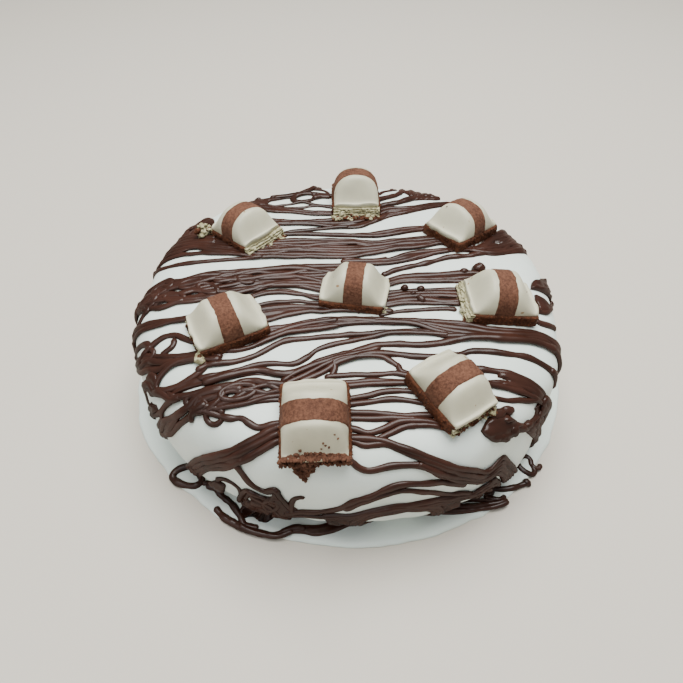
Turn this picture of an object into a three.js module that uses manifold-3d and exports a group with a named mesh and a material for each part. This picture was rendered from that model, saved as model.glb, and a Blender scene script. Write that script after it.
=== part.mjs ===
// A round cake under a white cream coat, drizzled with dark chocolate and set with eight pieces
// of wafer bar. Millimetres, +Z up, with the foot of the cake on z = 0.
import * as THREE from 'three';
import { mergeVertices } from 'three/addons/utils/BufferGeometryUtils.js';
import Module from 'manifold-3d';

const wasm = await Module();
wasm.setup();

// The gap between two pieces that touch
const GAP = 0.3;
// Corners that lie closer than this are one corner
const MERGE = 0.001;

// Cake body: a dome with a soft shoulder over a belly, and a side that draws in to the foot
const CAKE_RADIUS = 97.3;
const CAKE_HEIGHT = 57.9;
const BELLY_HEIGHT = 17;
const FOOT_RADIUS = 0.9 * CAKE_RADIUS;
const SHOULDER_POWER = 5.4;
const TOP_LEAN = -0.01;
const BODY_SIDES = 48;
// Draped distances from the middle of the top at which the shoulder and side have their rings
const BODY_RINGS = [85, 93, 102, 112, 127, 137, 144];
// The drizzled top is a sheet of its own out to here, let into a bed in the body
const TOP_REACH = 86;
const TOP_BED = 5;
const RIM_STEP = 0.35;

// Pool of cream round the foot
const POOL_THICKNESS = 3.5;
const POOL_RADIUS = 104.5;
const POOL_STRETCH = 0.035;
const POOL_LIP = 1.3;

// Drizzle: bands of piped strands that cross the cake from left to right. Each row has the number
// of ridges and the y of the band's rear and front edges at the stations' x.
const STATIONS = [-90, -45, 0, 45, 90];
const BANDS = [
  [1, [83, 83, 84, 84, 83], [79, 79, 81, 81, 79]],
  [2, [76, 76, 78, 78, 76], [69, 71, 73, 73, 69]],
  [1, [66, 67, 68, 70, 67], [61, 63, 63, 66, 62]],
  [2, [54, 58, 58, 64, 60], [48, 50, 50, 58, 52]],
  [2, [44, 47, 46, 57, 51], [38, 41, 41, 53, 46]],
  [1, [37, 37, 37.5, 42, 38], [36, 36, 36.5, 41, 37]],
  [1, [32, 32.5, 32.5, 36, 32], [31, 31.5, 31.5, 35, 31]],
  [4, [27, 30, 30.5, 30, 29], [19, 16, 17, 23, 20]],
  [1, [14, 14, 15.5, 21.5, 22.5], [13, 13, 14.5, 20.5, 21.5]],
  [1, [-1, 5, 12, 20, 27], [-2, 2.5, 10, 16, 24]],
  [1, [-2, 2, 7, 12.5, 20], [-3, 1, 6, 11.5, 19]],
  [2, [-4, 1, 5, 5.5, 6], [-7, -3, -1, -1, 0]],
  [3, [-7, -4, -4, -5, -8], [-11, -10, -14, -13, -14]],
  [1, [-12, -11, -16.5, -19, -17], [-13, -12, -17.5, -20, -18]],
  [2, [-20, -18, -21, -27, -29], [-26, -28, -26, -31, -33]],
  [2, [-30, -33, -27, -30, -31], [-36, -38, -29.5, -35.5, -37]],
  [1, [-39.5, -39.5, -32.5, -33, -33.5], [-40.5, -40.5, -33.5, -34, -34.5]],
  [1, [-45.5, -45.5, -35.5, -35.5, -35.5], [-46.5, -46.5, -36.5, -36.5, -36.5]],
  [1, [-51.5, -52, -40, -36.5, -35.5], [-52.5, -53, -41, -37.5, -36.5]],
  [1, [-56, -55, -45, -38, -37], [-62, -59, -48.5, -41, -39]],
  [1, [-62, -58, -50, -45, -45.5], [-63, -59, -51, -46, -46.5]],
  [2, [-64, -60, -54, -52, -53], [-68, -65, -60, -56.5, -60]],
  [3, [-68, -64, -61, -59, -60], [-72, -70, -70, -67, -66]],
  [1, [-76, -71, -73, -73, -70], [-80, -74, -75, -76, -74]],
];

// Single strands, blobs and puddles at the front, as routes in draped coordinates: the distance
// from the middle of the top is measured along the surface, so 100 to 144 lies on the side and
// beyond that on the pool.
const FRONT_ROUTES = [
  { width: 4.5, points: [[-87, -129], [-75, -137], [-60, -144], [-46, -148], [-37, -144], [-28, -147],
    [-17, -150], [10, -145], [40, -138], [62, -137], [82, -130], [93, -122]] },
  { width: 4.5, points: [[-52, -116], [-34, -121], [-15, -119], [-2, -119], [10, -114], [24, -112],
    [50, -113], [62, -108], [72, -98]] },
  { width: 3.5, points: [[-26, -113], [-10, -116], [2, -110], [18, -101], [32, -102], [50, -103],
    [66, -95]] },
  { width: 3.5, points: [[0, -91], [12, -91], [25, -91], [38, -96], [50, -99], [61, -97], [69, -88]] },
  { width: 3.5, points: [[2, -85.5], [16, -86.5], [28, -90]] },
  { width: 6, points: [[-26, -83], [-42, -89], [-60, -92], [-85, -97], [-100, -100]] },
  { width: 3.5, points: [[-43, -92], [-40, -101], [-31, -109]] },
  { width: 3, points: [[-54, -72], [-44, -73.5], [-33, -78.5], [-26, -78]] },
  { width: 7, points: [[-84, -117], [-70, -127], [-50, -130], [-30, -124]] },
];
// Rings of dropped chocolate: middle in draped coordinates, two radii and the turn in degrees
const RINGS = [
  [-108, -105, 8.5, 5, -35],
  [-67, -108, 12, 6.5, 12],
  [105, -64, 9, 6, -40],
  [104, -107, 11, 6, 40],
];
const RING_WIDTH = 3.4;
const RING_SIDES = 8;
// Lumps of chocolate: middle in draped coordinates, radius and height
const LUMPS = [
  [24.5, -6, 2.2, 2.6],
  [31, -6, 1.9, 2.4],
  [30, -11.5, 2.4, 2.2],
  [59, 7, 3.4, 3.4],
  [57, -77.5, 7.5, 3.2],
  [-86, -8, 5, 3],
];
// Bands stand out a little past their edges, in ridges with valleys between them
const BAND_PAD = 0.9;
const RIDGE_HEIGHT = 1.3;
const VALLEY_HEIGHT = 0.5;
const ROW_GAP = 0.5;
// Single strands have a roof-shaped section that stands this high and goes this deep
const STRAND_HEIGHT = 1.9;
const STRAND_SINK = 1.1;
const STRAND_STEP = 10;
// Strands on the pool go no deeper than this
const STRAND_FLOOR = 0.4;
// The sheet of bands has its columns here, on the right, and again on the left
const SHEET_COLUMNS = [22, 43, 61, 76, 86];
// Strands that fall down the side from the ends of the bands, to a draped distance of their own
const FALL_WIDTH = 3.6;
const FALL_START = 84.3;
const FALL_SHORTEST = 100;
const FALL_LONGEST = 138;

// Pieces of wafer bar: place and turn on the cake, length, width, height, lean about their long
// axis in degrees, depth in the cream, and whether the wafer shows at the first and second end
const BARS = [
  ['bar_1', -50, 32.5, -42, 30, 24.4, 16.4, 2, 1, [1, 1]],
  ['bar_2', 3.7, 62.7, 91.2, 31, 25, 18, 0, 1, [1, 0]],
  ['bar_3', 54.8, 35.8, 41.2, 30.5, 24.4, 16.6, -2, 1, [0, 0]],
  ['bar_4', -49.8, -33.3, 26, 30.2, 24, 15.8, 0, 1, [1, 0]],
  ['bar_5', 2.5, -12.3, -9, 29.6, 23, 16.6, -4, 2.6, [0, 1]],
  ['bar_6', 62.3, -18.2, 2.3, 30.4, 24.2, 16.8, -2, 1, [1, 0]],
  ['bar_7', -12.7, -78.2, 90.8, 29.6, 25.6, 18.2, 2, 1, [0, 0]],
  ['bar_8', 36.6, -65.6, 124.8, 28.8, 24, 15.8, 5, 1, [1, 0]],
].map(([name, x, y, turn, length, width, height, lean, sink, open]) => (
  { name, x, y, turn, length, width, height, lean, sink, open }));
const POCKET_HEIGHT = 30;
const TRAY_HEIGHT = 4.6;
const TRAY_INSET = 0.3;
const COAT_FLOOR = TRAY_HEIGHT + GAP;
const COAT_WALL = 5.8;
// The coat is this much narrower than the tray on each side
const COAT_INSET = 1.2;
const LIP_HEIGHT = 7.6;
// The coat's crown is level to the first share of its half length, and is down at the second
const CROWN_SHARE = 0.34;
const LIP_SHARE = 0.92;
// The ends bow out, so their corners lie back by this share of the half length
const END_BOW = 0.05;
// The cocoa band covers this share of the bar's half length
const BAND_SHARE = 0.27;
const BAND_DEPTH = 0.9;
const BAND_STAND = 0.25;
const CORE_FLOOR = 1.5;
const CORE_SIDE = 2.6;
const CORE_END = 3;
// The torn ends of the wafer step in and out by this much, this many times across
const CORE_NOTCH = 0.9;
const CORE_NOTCHES = 3;
const BAR_ACROSS = [-1, -0.86, -0.5, 0, 0.5, 0.86, 1];
const BAR_ALONG = [0.28, 0.45, 0.62, 0.78, 0.92, 1];

const cream = new THREE.MeshStandardMaterial({ color: 0xe1e4de, roughness: 0.55, metalness: 0 });
const whiteCoat = new THREE.MeshStandardMaterial({ color: 0xc8c8ba, roughness: 0.45, metalness: 0 });
const cocoa = new THREE.MeshStandardMaterial({ color: 0x875a48, roughness: 0.8, metalness: 0 });
const wafer = new THREE.MeshStandardMaterial({ color: 0xc8c8aa, roughness: 0.9, metalness: 0 });

// Evenly spread numbers from 0 to 1 that are the same in every run
let seed = 20417;
function random() {
  seed = (seed * 16807) % 2147483647;
  return seed / 2147483647;
}

function solid(vertices, triangles) {
  const mesh = new wasm.Mesh({
    numProp: 3,
    vertProperties: new Float32Array(vertices.flat()),
    triVerts: new Uint32Array(triangles.flat()),
  });
  return new wasm.Manifold(mesh);
}

function solidOf(geometry) {
  const bare = geometry.clone();
  bare.deleteAttribute('normal');
  bare.deleteAttribute('uv');
  const merged = mergeVertices(bare, MERGE);
  return new wasm.Manifold(new wasm.Mesh({
    numProp: 3,
    vertProperties: new Float32Array(merged.attributes.position.array),
    triVerts: new Uint32Array(merged.index.array),
  }));
}

function geometryOf(manifold) {
  const mesh = manifold.getMesh();
  const geometry = new THREE.BufferGeometry();
  geometry.setAttribute('position', new THREE.BufferAttribute(new Float32Array(mesh.vertProperties), 3));
  geometry.setIndex(new THREE.BufferAttribute(new Uint32Array(mesh.triVerts), 1));
  geometry.computeVertexNormals();
  return geometry;
}

// The outline isn't a true circle: this is its radius at an angle, over the mean radius
function lobe(angle) {
  return 1 + 0.007 * Math.cos(2 * angle) - 0.007 * Math.cos(3 * angle) + 0.005 * Math.sin(3 * angle)
    - 0.013 * Math.cos(4 * angle);
}

function poolEdge(angle) {
  return POOL_RADIUS * (1 + POOL_STRETCH * Math.cos(2 * angle) + 0.004 * Math.sin(5 * angle + 1)
    + 0.003 * Math.sin(9 * angle + 2) + 0.002 * Math.sin(17 * angle));
}

// The mean profile as radius and height against the distance along it from the middle of the top
function makeProfile() {
  const domeSteps = 200;
  const sideSteps = 40;
  const points = [[0, CAKE_HEIGHT]];
  for (let i = 1; i <= domeSteps; i++) {
    const a = (Math.PI / 2) * (1 - i / domeSteps);
    points.push([
      CAKE_RADIUS * Math.cos(a) ** (2 / SHOULDER_POWER),
      BELLY_HEIGHT + (CAKE_HEIGHT - BELLY_HEIGHT) * Math.sin(a) ** (2 / SHOULDER_POWER),
    ]);
  }
  for (let i = 1; i <= sideSteps; i++) {
    const q = 1 - i / sideSteps;
    points.push([
      FOOT_RADIUS + (CAKE_RADIUS - FOOT_RADIUS) * Math.sin(q * Math.PI / 2),
      POOL_THICKNESS + (BELLY_HEIGHT - POOL_THICKNESS) * q,
    ]);
  }
  let distance = 0;
  return points.map(([r, z], i) => {
    if (i > 0) distance += Math.hypot(r - points[i - 1][0], z - points[i - 1][1]);
    return { distance, r, z };
  });
}
const PROFILE = makeProfile();
const FOOT_DISTANCE = PROFILE[PROFILE.length - 1].distance;

// Radius and height at a distance along the mean profile, out over the pool beyond the foot
function onProfile(distance) {
  if (distance >= FOOT_DISTANCE) {
    const out = distance - FOOT_DISTANCE;
    const slope = (POOL_THICKNESS - POOL_LIP) / (POOL_RADIUS - FOOT_RADIUS);
    return [FOOT_RADIUS + out, Math.max(POOL_THICKNESS - out * slope, POOL_LIP)];
  }
  let i = 1;
  while (PROFILE[i].distance < distance) i++;
  const a = PROFILE[i - 1];
  const b = PROFILE[i];
  const t = (distance - a.distance) / (b.distance - a.distance);
  return [a.r + (b.r - a.r) * t, a.z + (b.z - a.z) * t];
}

// The point of the surface at a draped place: a plan whose distances run along the surface
function drape(x, y) {
  const angle = Math.atan2(y, x);
  const k = lobe(angle);
  const [r, z] = onProfile(Math.hypot(x, y) / k);
  const px = r * k * Math.cos(angle);
  const py = r * k * Math.sin(angle);
  const risen = THREE.MathUtils.clamp((z - BELLY_HEIGHT) / (CAKE_HEIGHT - BELLY_HEIGHT), 0, 1);
  return new THREE.Vector3(px, py, z + TOP_LEAN * py * risen);
}

function drapeNormal(x, y) {
  const e = 0.6;
  const alongX = drape(x + e, y).sub(drape(x - e, y));
  const alongY = drape(x, y + e).sub(drape(x, y - e));
  return alongX.cross(alongY).normalize();
}

// Height of the top surface at a point in plan
function topHeight(x, y) {
  const angle = Math.atan2(y, x);
  const q = Math.min(Math.hypot(x, y) / (CAKE_RADIUS * lobe(angle)), 1);
  const z = BELLY_HEIGHT + (CAKE_HEIGHT - BELLY_HEIGHT) * (1 - q ** SHOULDER_POWER) ** (1 / SHOULDER_POWER);
  return z + TOP_LEAN * y * (z - BELLY_HEIGHT) / (CAKE_HEIGHT - BELLY_HEIGHT);
}

const BODY_ANGLES = Array.from({ length: BODY_SIDES }, (_, i) => (i / BODY_SIDES) * 2 * Math.PI);

// Joins rings of equally many points, between a middle point at each end, into a closed solid
function ringed(first, rings, last) {
  const vertices = [first, ...rings.flat(), last];
  const end = vertices.length - 1;
  const sides = rings[0].length;
  const at = (ring, i) => 1 + ring * sides + (i % sides);
  const triangles = [];
  for (let i = 0; i < sides; i++) {
    triangles.push([0, at(0, i), at(0, i + 1)]);
    for (let ring = 0; ring < rings.length - 1; ring++) {
      triangles.push([at(ring, i), at(ring + 1, i), at(ring + 1, i + 1)]);
      triangles.push([at(ring, i), at(ring + 1, i + 1), at(ring, i + 1)]);
    }
    triangles.push([end, at(rings.length - 1, i + 1), at(rings.length - 1, i)]);
  }
  return solid(vertices, triangles);
}

function levelRing(radius, z, turn = 0) {
  const angles = BODY_ANGLES.map((a) => a + turn);
  return angles.map((a) => [radius(a) * Math.cos(a), radius(a) * Math.sin(a), z]);
}

// Shoulder, side and pool, with a bed for the drizzled top
function cakeBody() {
  const bed = topHeight(TOP_REACH, 0) - TOP_BED;
  const rings = [levelRing((a) => (TOP_REACH - 3) * lobe(a), bed)];
  BODY_RINGS.forEach((distance, ring) => {
    rings.push(BODY_ANGLES.map((a) => {
      const reach = distance * lobe(a);
      const { x, y, z } = drape(reach * Math.cos(a), reach * Math.sin(a));
      return [x, y, ring ? z : z - RIM_STEP];
    }));
  });
  for (const [inset, z] of [[2, POOL_LIP], [0.5, POOL_LIP / 2], [0, 0]]) {
    rings.push(levelRing((a) => poolEdge(a) - inset, z));
  }
  return ringed([0, 0, bed], rings, [0, 0, 0]);
}

// Lines along the top from rear to front: level cream, then edge, crest, valley, crest, edge
function topRows(columns) {
  const rows = [{ ys: columns.map(() => CAKE_RADIUS), rise: 0 }];
  const add = (ys, rise) => {
    const previous = rows[rows.length - 1].ys;
    rows.push({ ys: ys.map((y, i) => Math.min(y, previous[i] - ROW_GAP)), rise });
  };
  for (const [ridges, rearValues, frontValues] of BANDS) {
    const rear = bandEdge(rearValues);
    const front = bandEdge(frontValues);
    for (let k = 0; k <= 2 * ridges; k++) {
      const share = k / (2 * ridges);
      const isEdge = k === 0 || k === 2 * ridges;
      const rise = k % 2 ? RIDGE_HEIGHT : VALLEY_HEIGHT;
      add(columns.map((x) => {
        const from = edgeAt(rear, x) + BAND_PAD;
        return from + (edgeAt(front, x) - BAND_PAD - from) * share;
      }), isEdge ? 0 : rise);
    }
  }
  add(columns.map(() => -CAKE_RADIUS), 0);
  return rows;
}

// The drizzled top: a sheet of rows over columns, cut to the cake's outline
function drizzledTop() {
  const columns = [...SHEET_COLUMNS.map((x) => -x).reverse(), 0, ...SHEET_COLUMNS];
  const rows = topRows(columns);
  const floor = topHeight(TOP_REACH, 0) - TOP_BED - 1;
  const vertices = [];
  for (const { ys, rise } of rows) {
    columns.forEach((x, i) => vertices.push([x, ys[i], topHeight(x, ys[i]) + rise]));
  }
  const corners = vertices.length;
  for (const { ys } of rows) columns.forEach((x, i) => vertices.push([x, ys[i], floor]));
  const n = columns.length;
  const triangles = [];
  const quad = (a, b, c, d) => triangles.push([a, b, c], [a, c, d]);
  for (let r = 0; r < rows.length - 1; r++) {
    for (let i = 0; i < n - 1; i++) {
      const a = r * n + i;
      quad(a, a + n, a + n + 1, a + 1);
      quad(corners + a, corners + a + 1, corners + a + n + 1, corners + a + n);
    }
    const left = r * n;
    const right = r * n + n - 1;
    quad(left, corners + left, corners + left + n, left + n);
    quad(right, right + n, corners + right + n, corners + right);
  }
  for (let i = 0; i < n - 1; i++) {
    const last = (rows.length - 1) * n + i;
    quad(i, i + 1, corners + i + 1, corners + i);
    quad(last, corners + last, corners + last + 1, last + 1);
  }
  // The sheet's corners lie between those of the body
  const outline = (z) => levelRing((a) => TOP_REACH * lobe(a), z, Math.PI / BODY_SIDES);
  const cutter = ringed([0, 0, 2 * CAKE_HEIGHT], [outline(2 * CAKE_HEIGHT), outline(0)], [0, 0, 0]);
  return solid(vertices, triangles).intersect(cutter);
}

// A strand with a roof-shaped section, lying along a route of draped places
function strand(route, width) {
  const vertices = [];
  const triangles = [];
  const centres = route.map(([x, y]) => drape(x, y));
  route.forEach(([x, y], i) => {
    const before = centres[Math.max(i - 1, 0)];
    const after = centres[Math.min(i + 1, centres.length - 1)];
    const up = drapeNormal(x, y);
    const side = up.clone().cross(after.clone().sub(before)).normalize();
    const foot = centres[i].clone().addScaledVector(up, -STRAND_SINK);
    for (const half of [width / 2, -width / 2]) {
      const corner = foot.clone().addScaledVector(side, half);
      vertices.push([corner.x, corner.y, Math.max(corner.z, STRAND_FLOOR)]);
    }
    vertices.push(centres[i].clone().addScaledVector(up, STRAND_HEIGHT).toArray());
  });
  const count = route.length;
  for (let i = 0; i < count - 1; i++) {
    for (let k = 0; k < 3; k++) {
      const a = 3 * i + k;
      const b = 3 * i + ((k + 1) % 3);
      triangles.push([a, b + 3, b], [a, a + 3, b + 3]);
    }
  }
  triangles.push([0, 1, 2], [3 * count - 3, 3 * count - 1, 3 * count - 2]);
  return solid(vertices, triangles);
}

// Evenly spaced places along a smooth route through the given ones
function spaced(points) {
  const curve = new THREE.SplineCurve(points.map(([x, y]) => new THREE.Vector2(x, y)));
  return curve.getSpacedPoints(Math.round(curve.getLength() / STRAND_STEP)).map((p) => [p.x, p.y]);
}

function bandEdge(values) {
  return new THREE.SplineCurve(STATIONS.map((x, i) => new THREE.Vector2(x, values[i])));
}

function edgeAt(curve, x) {
  const t = THREE.MathUtils.clamp((x - STATIONS[0]) / (STATIONS[4] - STATIONS[0]), 0, 1);
  return curve.getPoint(t).y;
}

// Where a band's middle line leaves the top, as an angle
function endAngle(rear, front, way) {
  let x = 0;
  let y = 0;
  do {
    x += way;
    y = (edgeAt(rear, x) + edgeAt(front, x)) / 2;
  } while (Math.hypot(x, y) < FALL_START);
  return Math.atan2(y, x);
}

function drizzle() {
  const pieces = [];
  BANDS.forEach(([, rearValues, frontValues], band) => {
    // The bands hang over by turns, one on the left and the next on the right
    const way = band % 2 ? 1 : -1;
    const angle = endAngle(bandEdge(rearValues), bandEdge(frontValues), way);
    const fall = FALL_SHORTEST + (FALL_LONGEST - FALL_SHORTEST) * random();
    const route = [FALL_START, ...BODY_RINGS.slice(1).filter((d) => d < fall - 4), fall];
    pieces.push(strand(route.map((d) => [d * Math.cos(angle), d * Math.sin(angle)]), FALL_WIDTH));
  });
  for (const { width, points } of FRONT_ROUTES) pieces.push(strand(spaced(points), width));
  for (const [x, y, a, b, turn] of RINGS) {
    const route = [];
    const t = THREE.MathUtils.degToRad(turn);
    for (let i = 0; i <= RING_SIDES; i++) {
      const u = (i / RING_SIDES) * 2 * Math.PI * 0.9;
      const px = a * Math.cos(u);
      const py = b * Math.sin(u);
      route.push([x + px * Math.cos(t) - py * Math.sin(t), y + px * Math.sin(t) + py * Math.cos(t)]);
    }
    pieces.push(strand(route, RING_WIDTH));
  }
  for (const [x, y, radius, height] of LUMPS) {
    const ball = new THREE.SphereGeometry(1, 7, 4);
    ball.rotateX(Math.PI / 2);
    ball.scale(radius, radius, height);
    const up = new THREE.Vector3(0, 0, 1);
    const place = new THREE.Matrix4().makeRotationFromQuaternion(
      new THREE.Quaternion().setFromUnitVectors(up, drapeNormal(x, y)));
    place.setPosition(drape(x, y));
    pieces.push(solidOf(ball.applyMatrix4(place)));
  }
  return pieces;
}

// Height of a bar's upper surface: an arch at its middle that sinks to a low lip at each end
function barSurface(bar, u, v) {
  const m = Math.abs(u);
  const slope = THREE.MathUtils.smoothstep(m, CROWN_SHARE, LIP_SHARE);
  const arch = (1 - Math.min(Math.abs(v), 1) ** 2.3) ** (1 / 2.3);
  const flat = (1 - Math.min(Math.abs(v), 1) ** 6) ** (1 / 2);
  const crown = COAT_WALL + (bar.height - COAT_WALL) * arch;
  const valley = LIP_HEIGHT - 0.8 * (1 - THREE.MathUtils.smoothstep(m, 0.86, 1));
  const lip = COAT_WALL + (valley - COAT_WALL) * flat;
  return crown + (lip - crown) * slope;
}

function halfWidth(bar, u) {
  return (bar.width / 2 - COAT_INSET) * (1 - 0.05 * u ** 8);
}

// White coat over the bar, with a shallow bed round its crown for the cocoa band
function coatSolid(bar) {
  const half = [[BAND_SHARE, BAND_DEPTH + GAP], ...BAR_ALONG.map((u) => [u, 0])];
  const columns = [...half.map(([u, inset]) => [-u, inset]).reverse(), ...half];
  const upper = columns.map(([u, inset]) => BAR_ACROSS.map((v) => [
    u * (1 - END_BOW * u ** 4 * v * v) * bar.length / 2,
    v * (halfWidth(bar, u) - inset),
    barSurface(bar, u, v) - inset * (Math.abs(v) === 1 ? 0 : 1),
  ]));
  const vertices = [...upper.flat(), ...upper.flat().map(([x, y]) => [x, y, COAT_FLOOR])];
  const rows = BAR_ACROSS.length;
  const lower = rows * columns.length;
  const triangles = [];
  const quad = (a, b, c, d) => triangles.push([a, b, c], [a, c, d]);
  for (let i = 0; i < columns.length - 1; i++) {
    for (let j = 0; j < rows - 1; j++) {
      const a = i * rows + j;
      quad(a, a + rows, a + rows + 1, a + 1);
      quad(lower + a, lower + a + 1, lower + a + rows + 1, lower + a + rows);
    }
    const near = i * rows;
    const far = near + rows - 1;
    quad(near, lower + near, lower + near + rows, near + rows);
    quad(far, far + rows, lower + far + rows, lower + far);
  }
  for (let j = 0; j < rows - 1; j++) {
    const end = (columns.length - 1) * rows + j;
    quad(j, j + 1, lower + j + 1, lower + j);
    quad(end, lower + end, lower + end + 1, end + 1);
  }
  return solid(vertices, triangles);
}

// Turns a shape drawn in y and z into a solid from x = -half to x = half
function alongBar(shape, half) {
  const geometry = new THREE.ExtrudeGeometry(shape, { depth: 2 * half, bevelEnabled: false });
  geometry.rotateX(Math.PI / 2);
  geometry.rotateZ(Math.PI / 2);
  geometry.translate(-half, 0, 0);
  return solidOf(geometry);
}

function broken(bar) {
  return bar.open.some((open) => open);
}

// Wafer that runs through the bar, with ragged broken ends where it shows
function core(bar, grow) {
  const ends = bar.open.map((open) => bar.length / 2 - (open ? TRAY_INSET : CORE_END) + grow);
  const side = bar.width / 2 - CORE_SIDE + grow;
  const notch = (end, i) => (bar.open[end] && grow === 0 && i % 2 ? CORE_NOTCH : 0);
  const outline = [];
  for (let i = 0; i <= CORE_NOTCHES; i++) {
    outline.push(new THREE.Vector2(ends[1] - notch(1, i), -side + (2 * side * i) / CORE_NOTCHES));
  }
  for (let i = 0; i <= CORE_NOTCHES; i++) {
    outline.push(new THREE.Vector2(-ends[0] + notch(0, i), side - (2 * side * i) / CORE_NOTCHES));
  }
  const depth = TRAY_HEIGHT - CORE_FLOOR + 2 * grow;
  const geometry = new THREE.ExtrudeGeometry(new THREE.Shape(outline), { depth, bevelEnabled: false });
  geometry.translate(0, 0, CORE_FLOOR - grow);
  return solidOf(geometry);
}

// Cocoa tray under the bar, and the band that crosses over its crown
function cocoaSolid(bar) {
  const hoop = (inset) => BAR_ACROSS.map((v) => new THREE.Vector2(
    v * (halfWidth(bar, BAND_SHARE) - inset), barSurface(bar, 0, v) - inset));
  const outer = hoop(-BAND_STAND);
  const inner = hoop(BAND_DEPTH).reverse();
  const foot = (edge) => new THREE.Vector2(edge.x, TRAY_HEIGHT / 2);
  const band = new THREE.Shape([foot(outer[0]), ...outer, foot(outer[outer.length - 1]),
    foot(inner[0]), ...inner, foot(inner[inner.length - 1])]);
  const tray = new THREE.BoxGeometry(bar.length - 2 * TRAY_INSET, bar.width - 2 * TRAY_INSET, TRAY_HEIGHT);
  tray.translate(0, 0, TRAY_HEIGHT / 2);
  const whole = solidOf(tray).add(alongBar(band, (BAND_SHARE * bar.length) / 2 - GAP / 2));
  return broken(bar) ? whole.subtract(core(bar, GAP)) : whole;
}

// Place of a bar: on the plane through the cake's surface under it, a little sunk into the cream
function barPlace(bar) {
  const reach = 12;
  const slopeX = (topHeight(bar.x + reach, bar.y) - topHeight(bar.x - reach, bar.y)) / (2 * reach);
  const slopeY = (topHeight(bar.x, bar.y + reach) - topHeight(bar.x, bar.y - reach)) / (2 * reach);
  const up = new THREE.Vector3(-slopeX, -slopeY, 1).normalize();
  const turn = THREE.MathUtils.degToRad(bar.turn);
  const along = new THREE.Vector3(Math.cos(turn), Math.sin(turn), 0);
  along.addScaledVector(up, -along.dot(up)).normalize();
  up.applyAxisAngle(along, THREE.MathUtils.degToRad(bar.lean));
  const across = up.clone().cross(along);
  const matrix = new THREE.Matrix4().makeBasis(along, across, up);
  const seat = new THREE.Vector3(bar.x, bar.y, topHeight(bar.x, bar.y)).addScaledVector(up, -bar.sink);
  return matrix.setPosition(seat);
}

// The room that a bar takes in the cream and the drizzle
function pocket(bar) {
  const side = bar.width + 2 * BAND_STAND + 2 * GAP;
  const box = new THREE.BoxGeometry(bar.length + 2 * GAP, side, POCKET_HEIGHT);
  box.translate(0, 0, POCKET_HEIGHT / 2 - GAP);
  return solidOf(box.applyMatrix4(barPlace(bar)));
}

function place(mesh, matrix) {
  matrix.decompose(mesh.position, mesh.quaternion, mesh.scale);
  return mesh;
}

function named(name, manifold, material) {
  const mesh = new THREE.Mesh(geometryOf(manifold), material);
  mesh.name = name;
  return mesh;
}

// The outer shell of a solid, without the hollows that are sealed in it
function filled(manifold) {
  const shells = solidOf(geometryOf(manifold)).decompose();
  const outer = shells.reduce((most, shell) => (shell.volume() > most.volume() ? shell : most));
  // A hollow that only touched the outer shell at a corner comes loose in the next pass
  return shells.length > 1 ? filled(outer) : outer;
}

// Cake, cream and drizzle as one solid
function cakeSolid() {
  const top = drizzledTop();
  const joined = [top, ...drizzle()].reduce((sum, piece) => sum.add(piece), cakeBody());
  const seated = BARS.reduce((sum, bar) => sum.subtract(pocket(bar)), joined);
  return filled(seated);
}

const cake = new THREE.Group();
cake.add(named('cake', cakeSolid(), cream));
for (const bar of BARS) {
  const matrix = barPlace(bar);
  cake.add(place(named(`${bar.name}_coat`, coatSolid(bar), whiteCoat), matrix));
  cake.add(place(named(`${bar.name}_cocoa`, cocoaSolid(bar), cocoa), matrix));
  if (broken(bar)) cake.add(place(named(`${bar.name}_wafer`, core(bar, 0), wafer), matrix));
}

// The pool isn't even, so the cake is moved to bring the middle of its footprint to the origin
const middle = new THREE.Box3().setFromObject(cake).getCenter(new THREE.Vector3());
cake.position.set(-middle.x, -middle.y, 0);
const model = new THREE.Group();
model.add(cake);

export default model;
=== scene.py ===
import math

import bpy
import numpy as np
from mathutils import Euler, Matrix, Vector


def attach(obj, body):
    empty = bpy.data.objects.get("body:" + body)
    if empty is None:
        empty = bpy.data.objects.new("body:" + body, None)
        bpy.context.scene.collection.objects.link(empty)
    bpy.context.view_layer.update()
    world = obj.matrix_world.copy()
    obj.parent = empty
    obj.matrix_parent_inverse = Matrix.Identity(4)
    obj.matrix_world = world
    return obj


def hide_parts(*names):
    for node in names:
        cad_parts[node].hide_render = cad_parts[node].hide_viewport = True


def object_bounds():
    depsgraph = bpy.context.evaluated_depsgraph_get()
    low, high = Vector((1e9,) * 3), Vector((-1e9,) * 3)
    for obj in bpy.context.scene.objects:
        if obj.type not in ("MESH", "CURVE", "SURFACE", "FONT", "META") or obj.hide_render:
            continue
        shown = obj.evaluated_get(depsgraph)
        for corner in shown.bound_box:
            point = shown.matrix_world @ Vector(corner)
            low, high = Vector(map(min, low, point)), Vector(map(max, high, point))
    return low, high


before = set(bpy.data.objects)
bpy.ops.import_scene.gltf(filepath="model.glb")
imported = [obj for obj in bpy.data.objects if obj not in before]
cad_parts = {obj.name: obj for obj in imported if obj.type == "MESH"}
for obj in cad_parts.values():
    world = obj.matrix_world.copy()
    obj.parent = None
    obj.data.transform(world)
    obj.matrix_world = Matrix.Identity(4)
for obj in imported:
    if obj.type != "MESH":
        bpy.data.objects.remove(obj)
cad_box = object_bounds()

# Shapes are worked out in millimetres, in the cake's own frame, and written in metres
MM = 0.001
SEED = 20417
rng = np.random.default_rng(SEED)

# Cake body: a dome with a soft shoulder over a belly, and a side that draws in to the foot
CAKE_RADIUS = 97.3
CAKE_HEIGHT = 57.9
BELLY_HEIGHT = 17.0
FOOT_RADIUS = 0.9 * CAKE_RADIUS
SHOULDER_POWER = 5.4
TOP_LEAN = -0.01
POOL_THICKNESS = 3.5
POOL_RADIUS = 104.5
POOL_LIP = 1.3
TOP_STEPS = 200
SIDE_STEPS = 40
OUTLINE_SIDES = 48
NORMAL_STEP = 0.8

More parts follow.
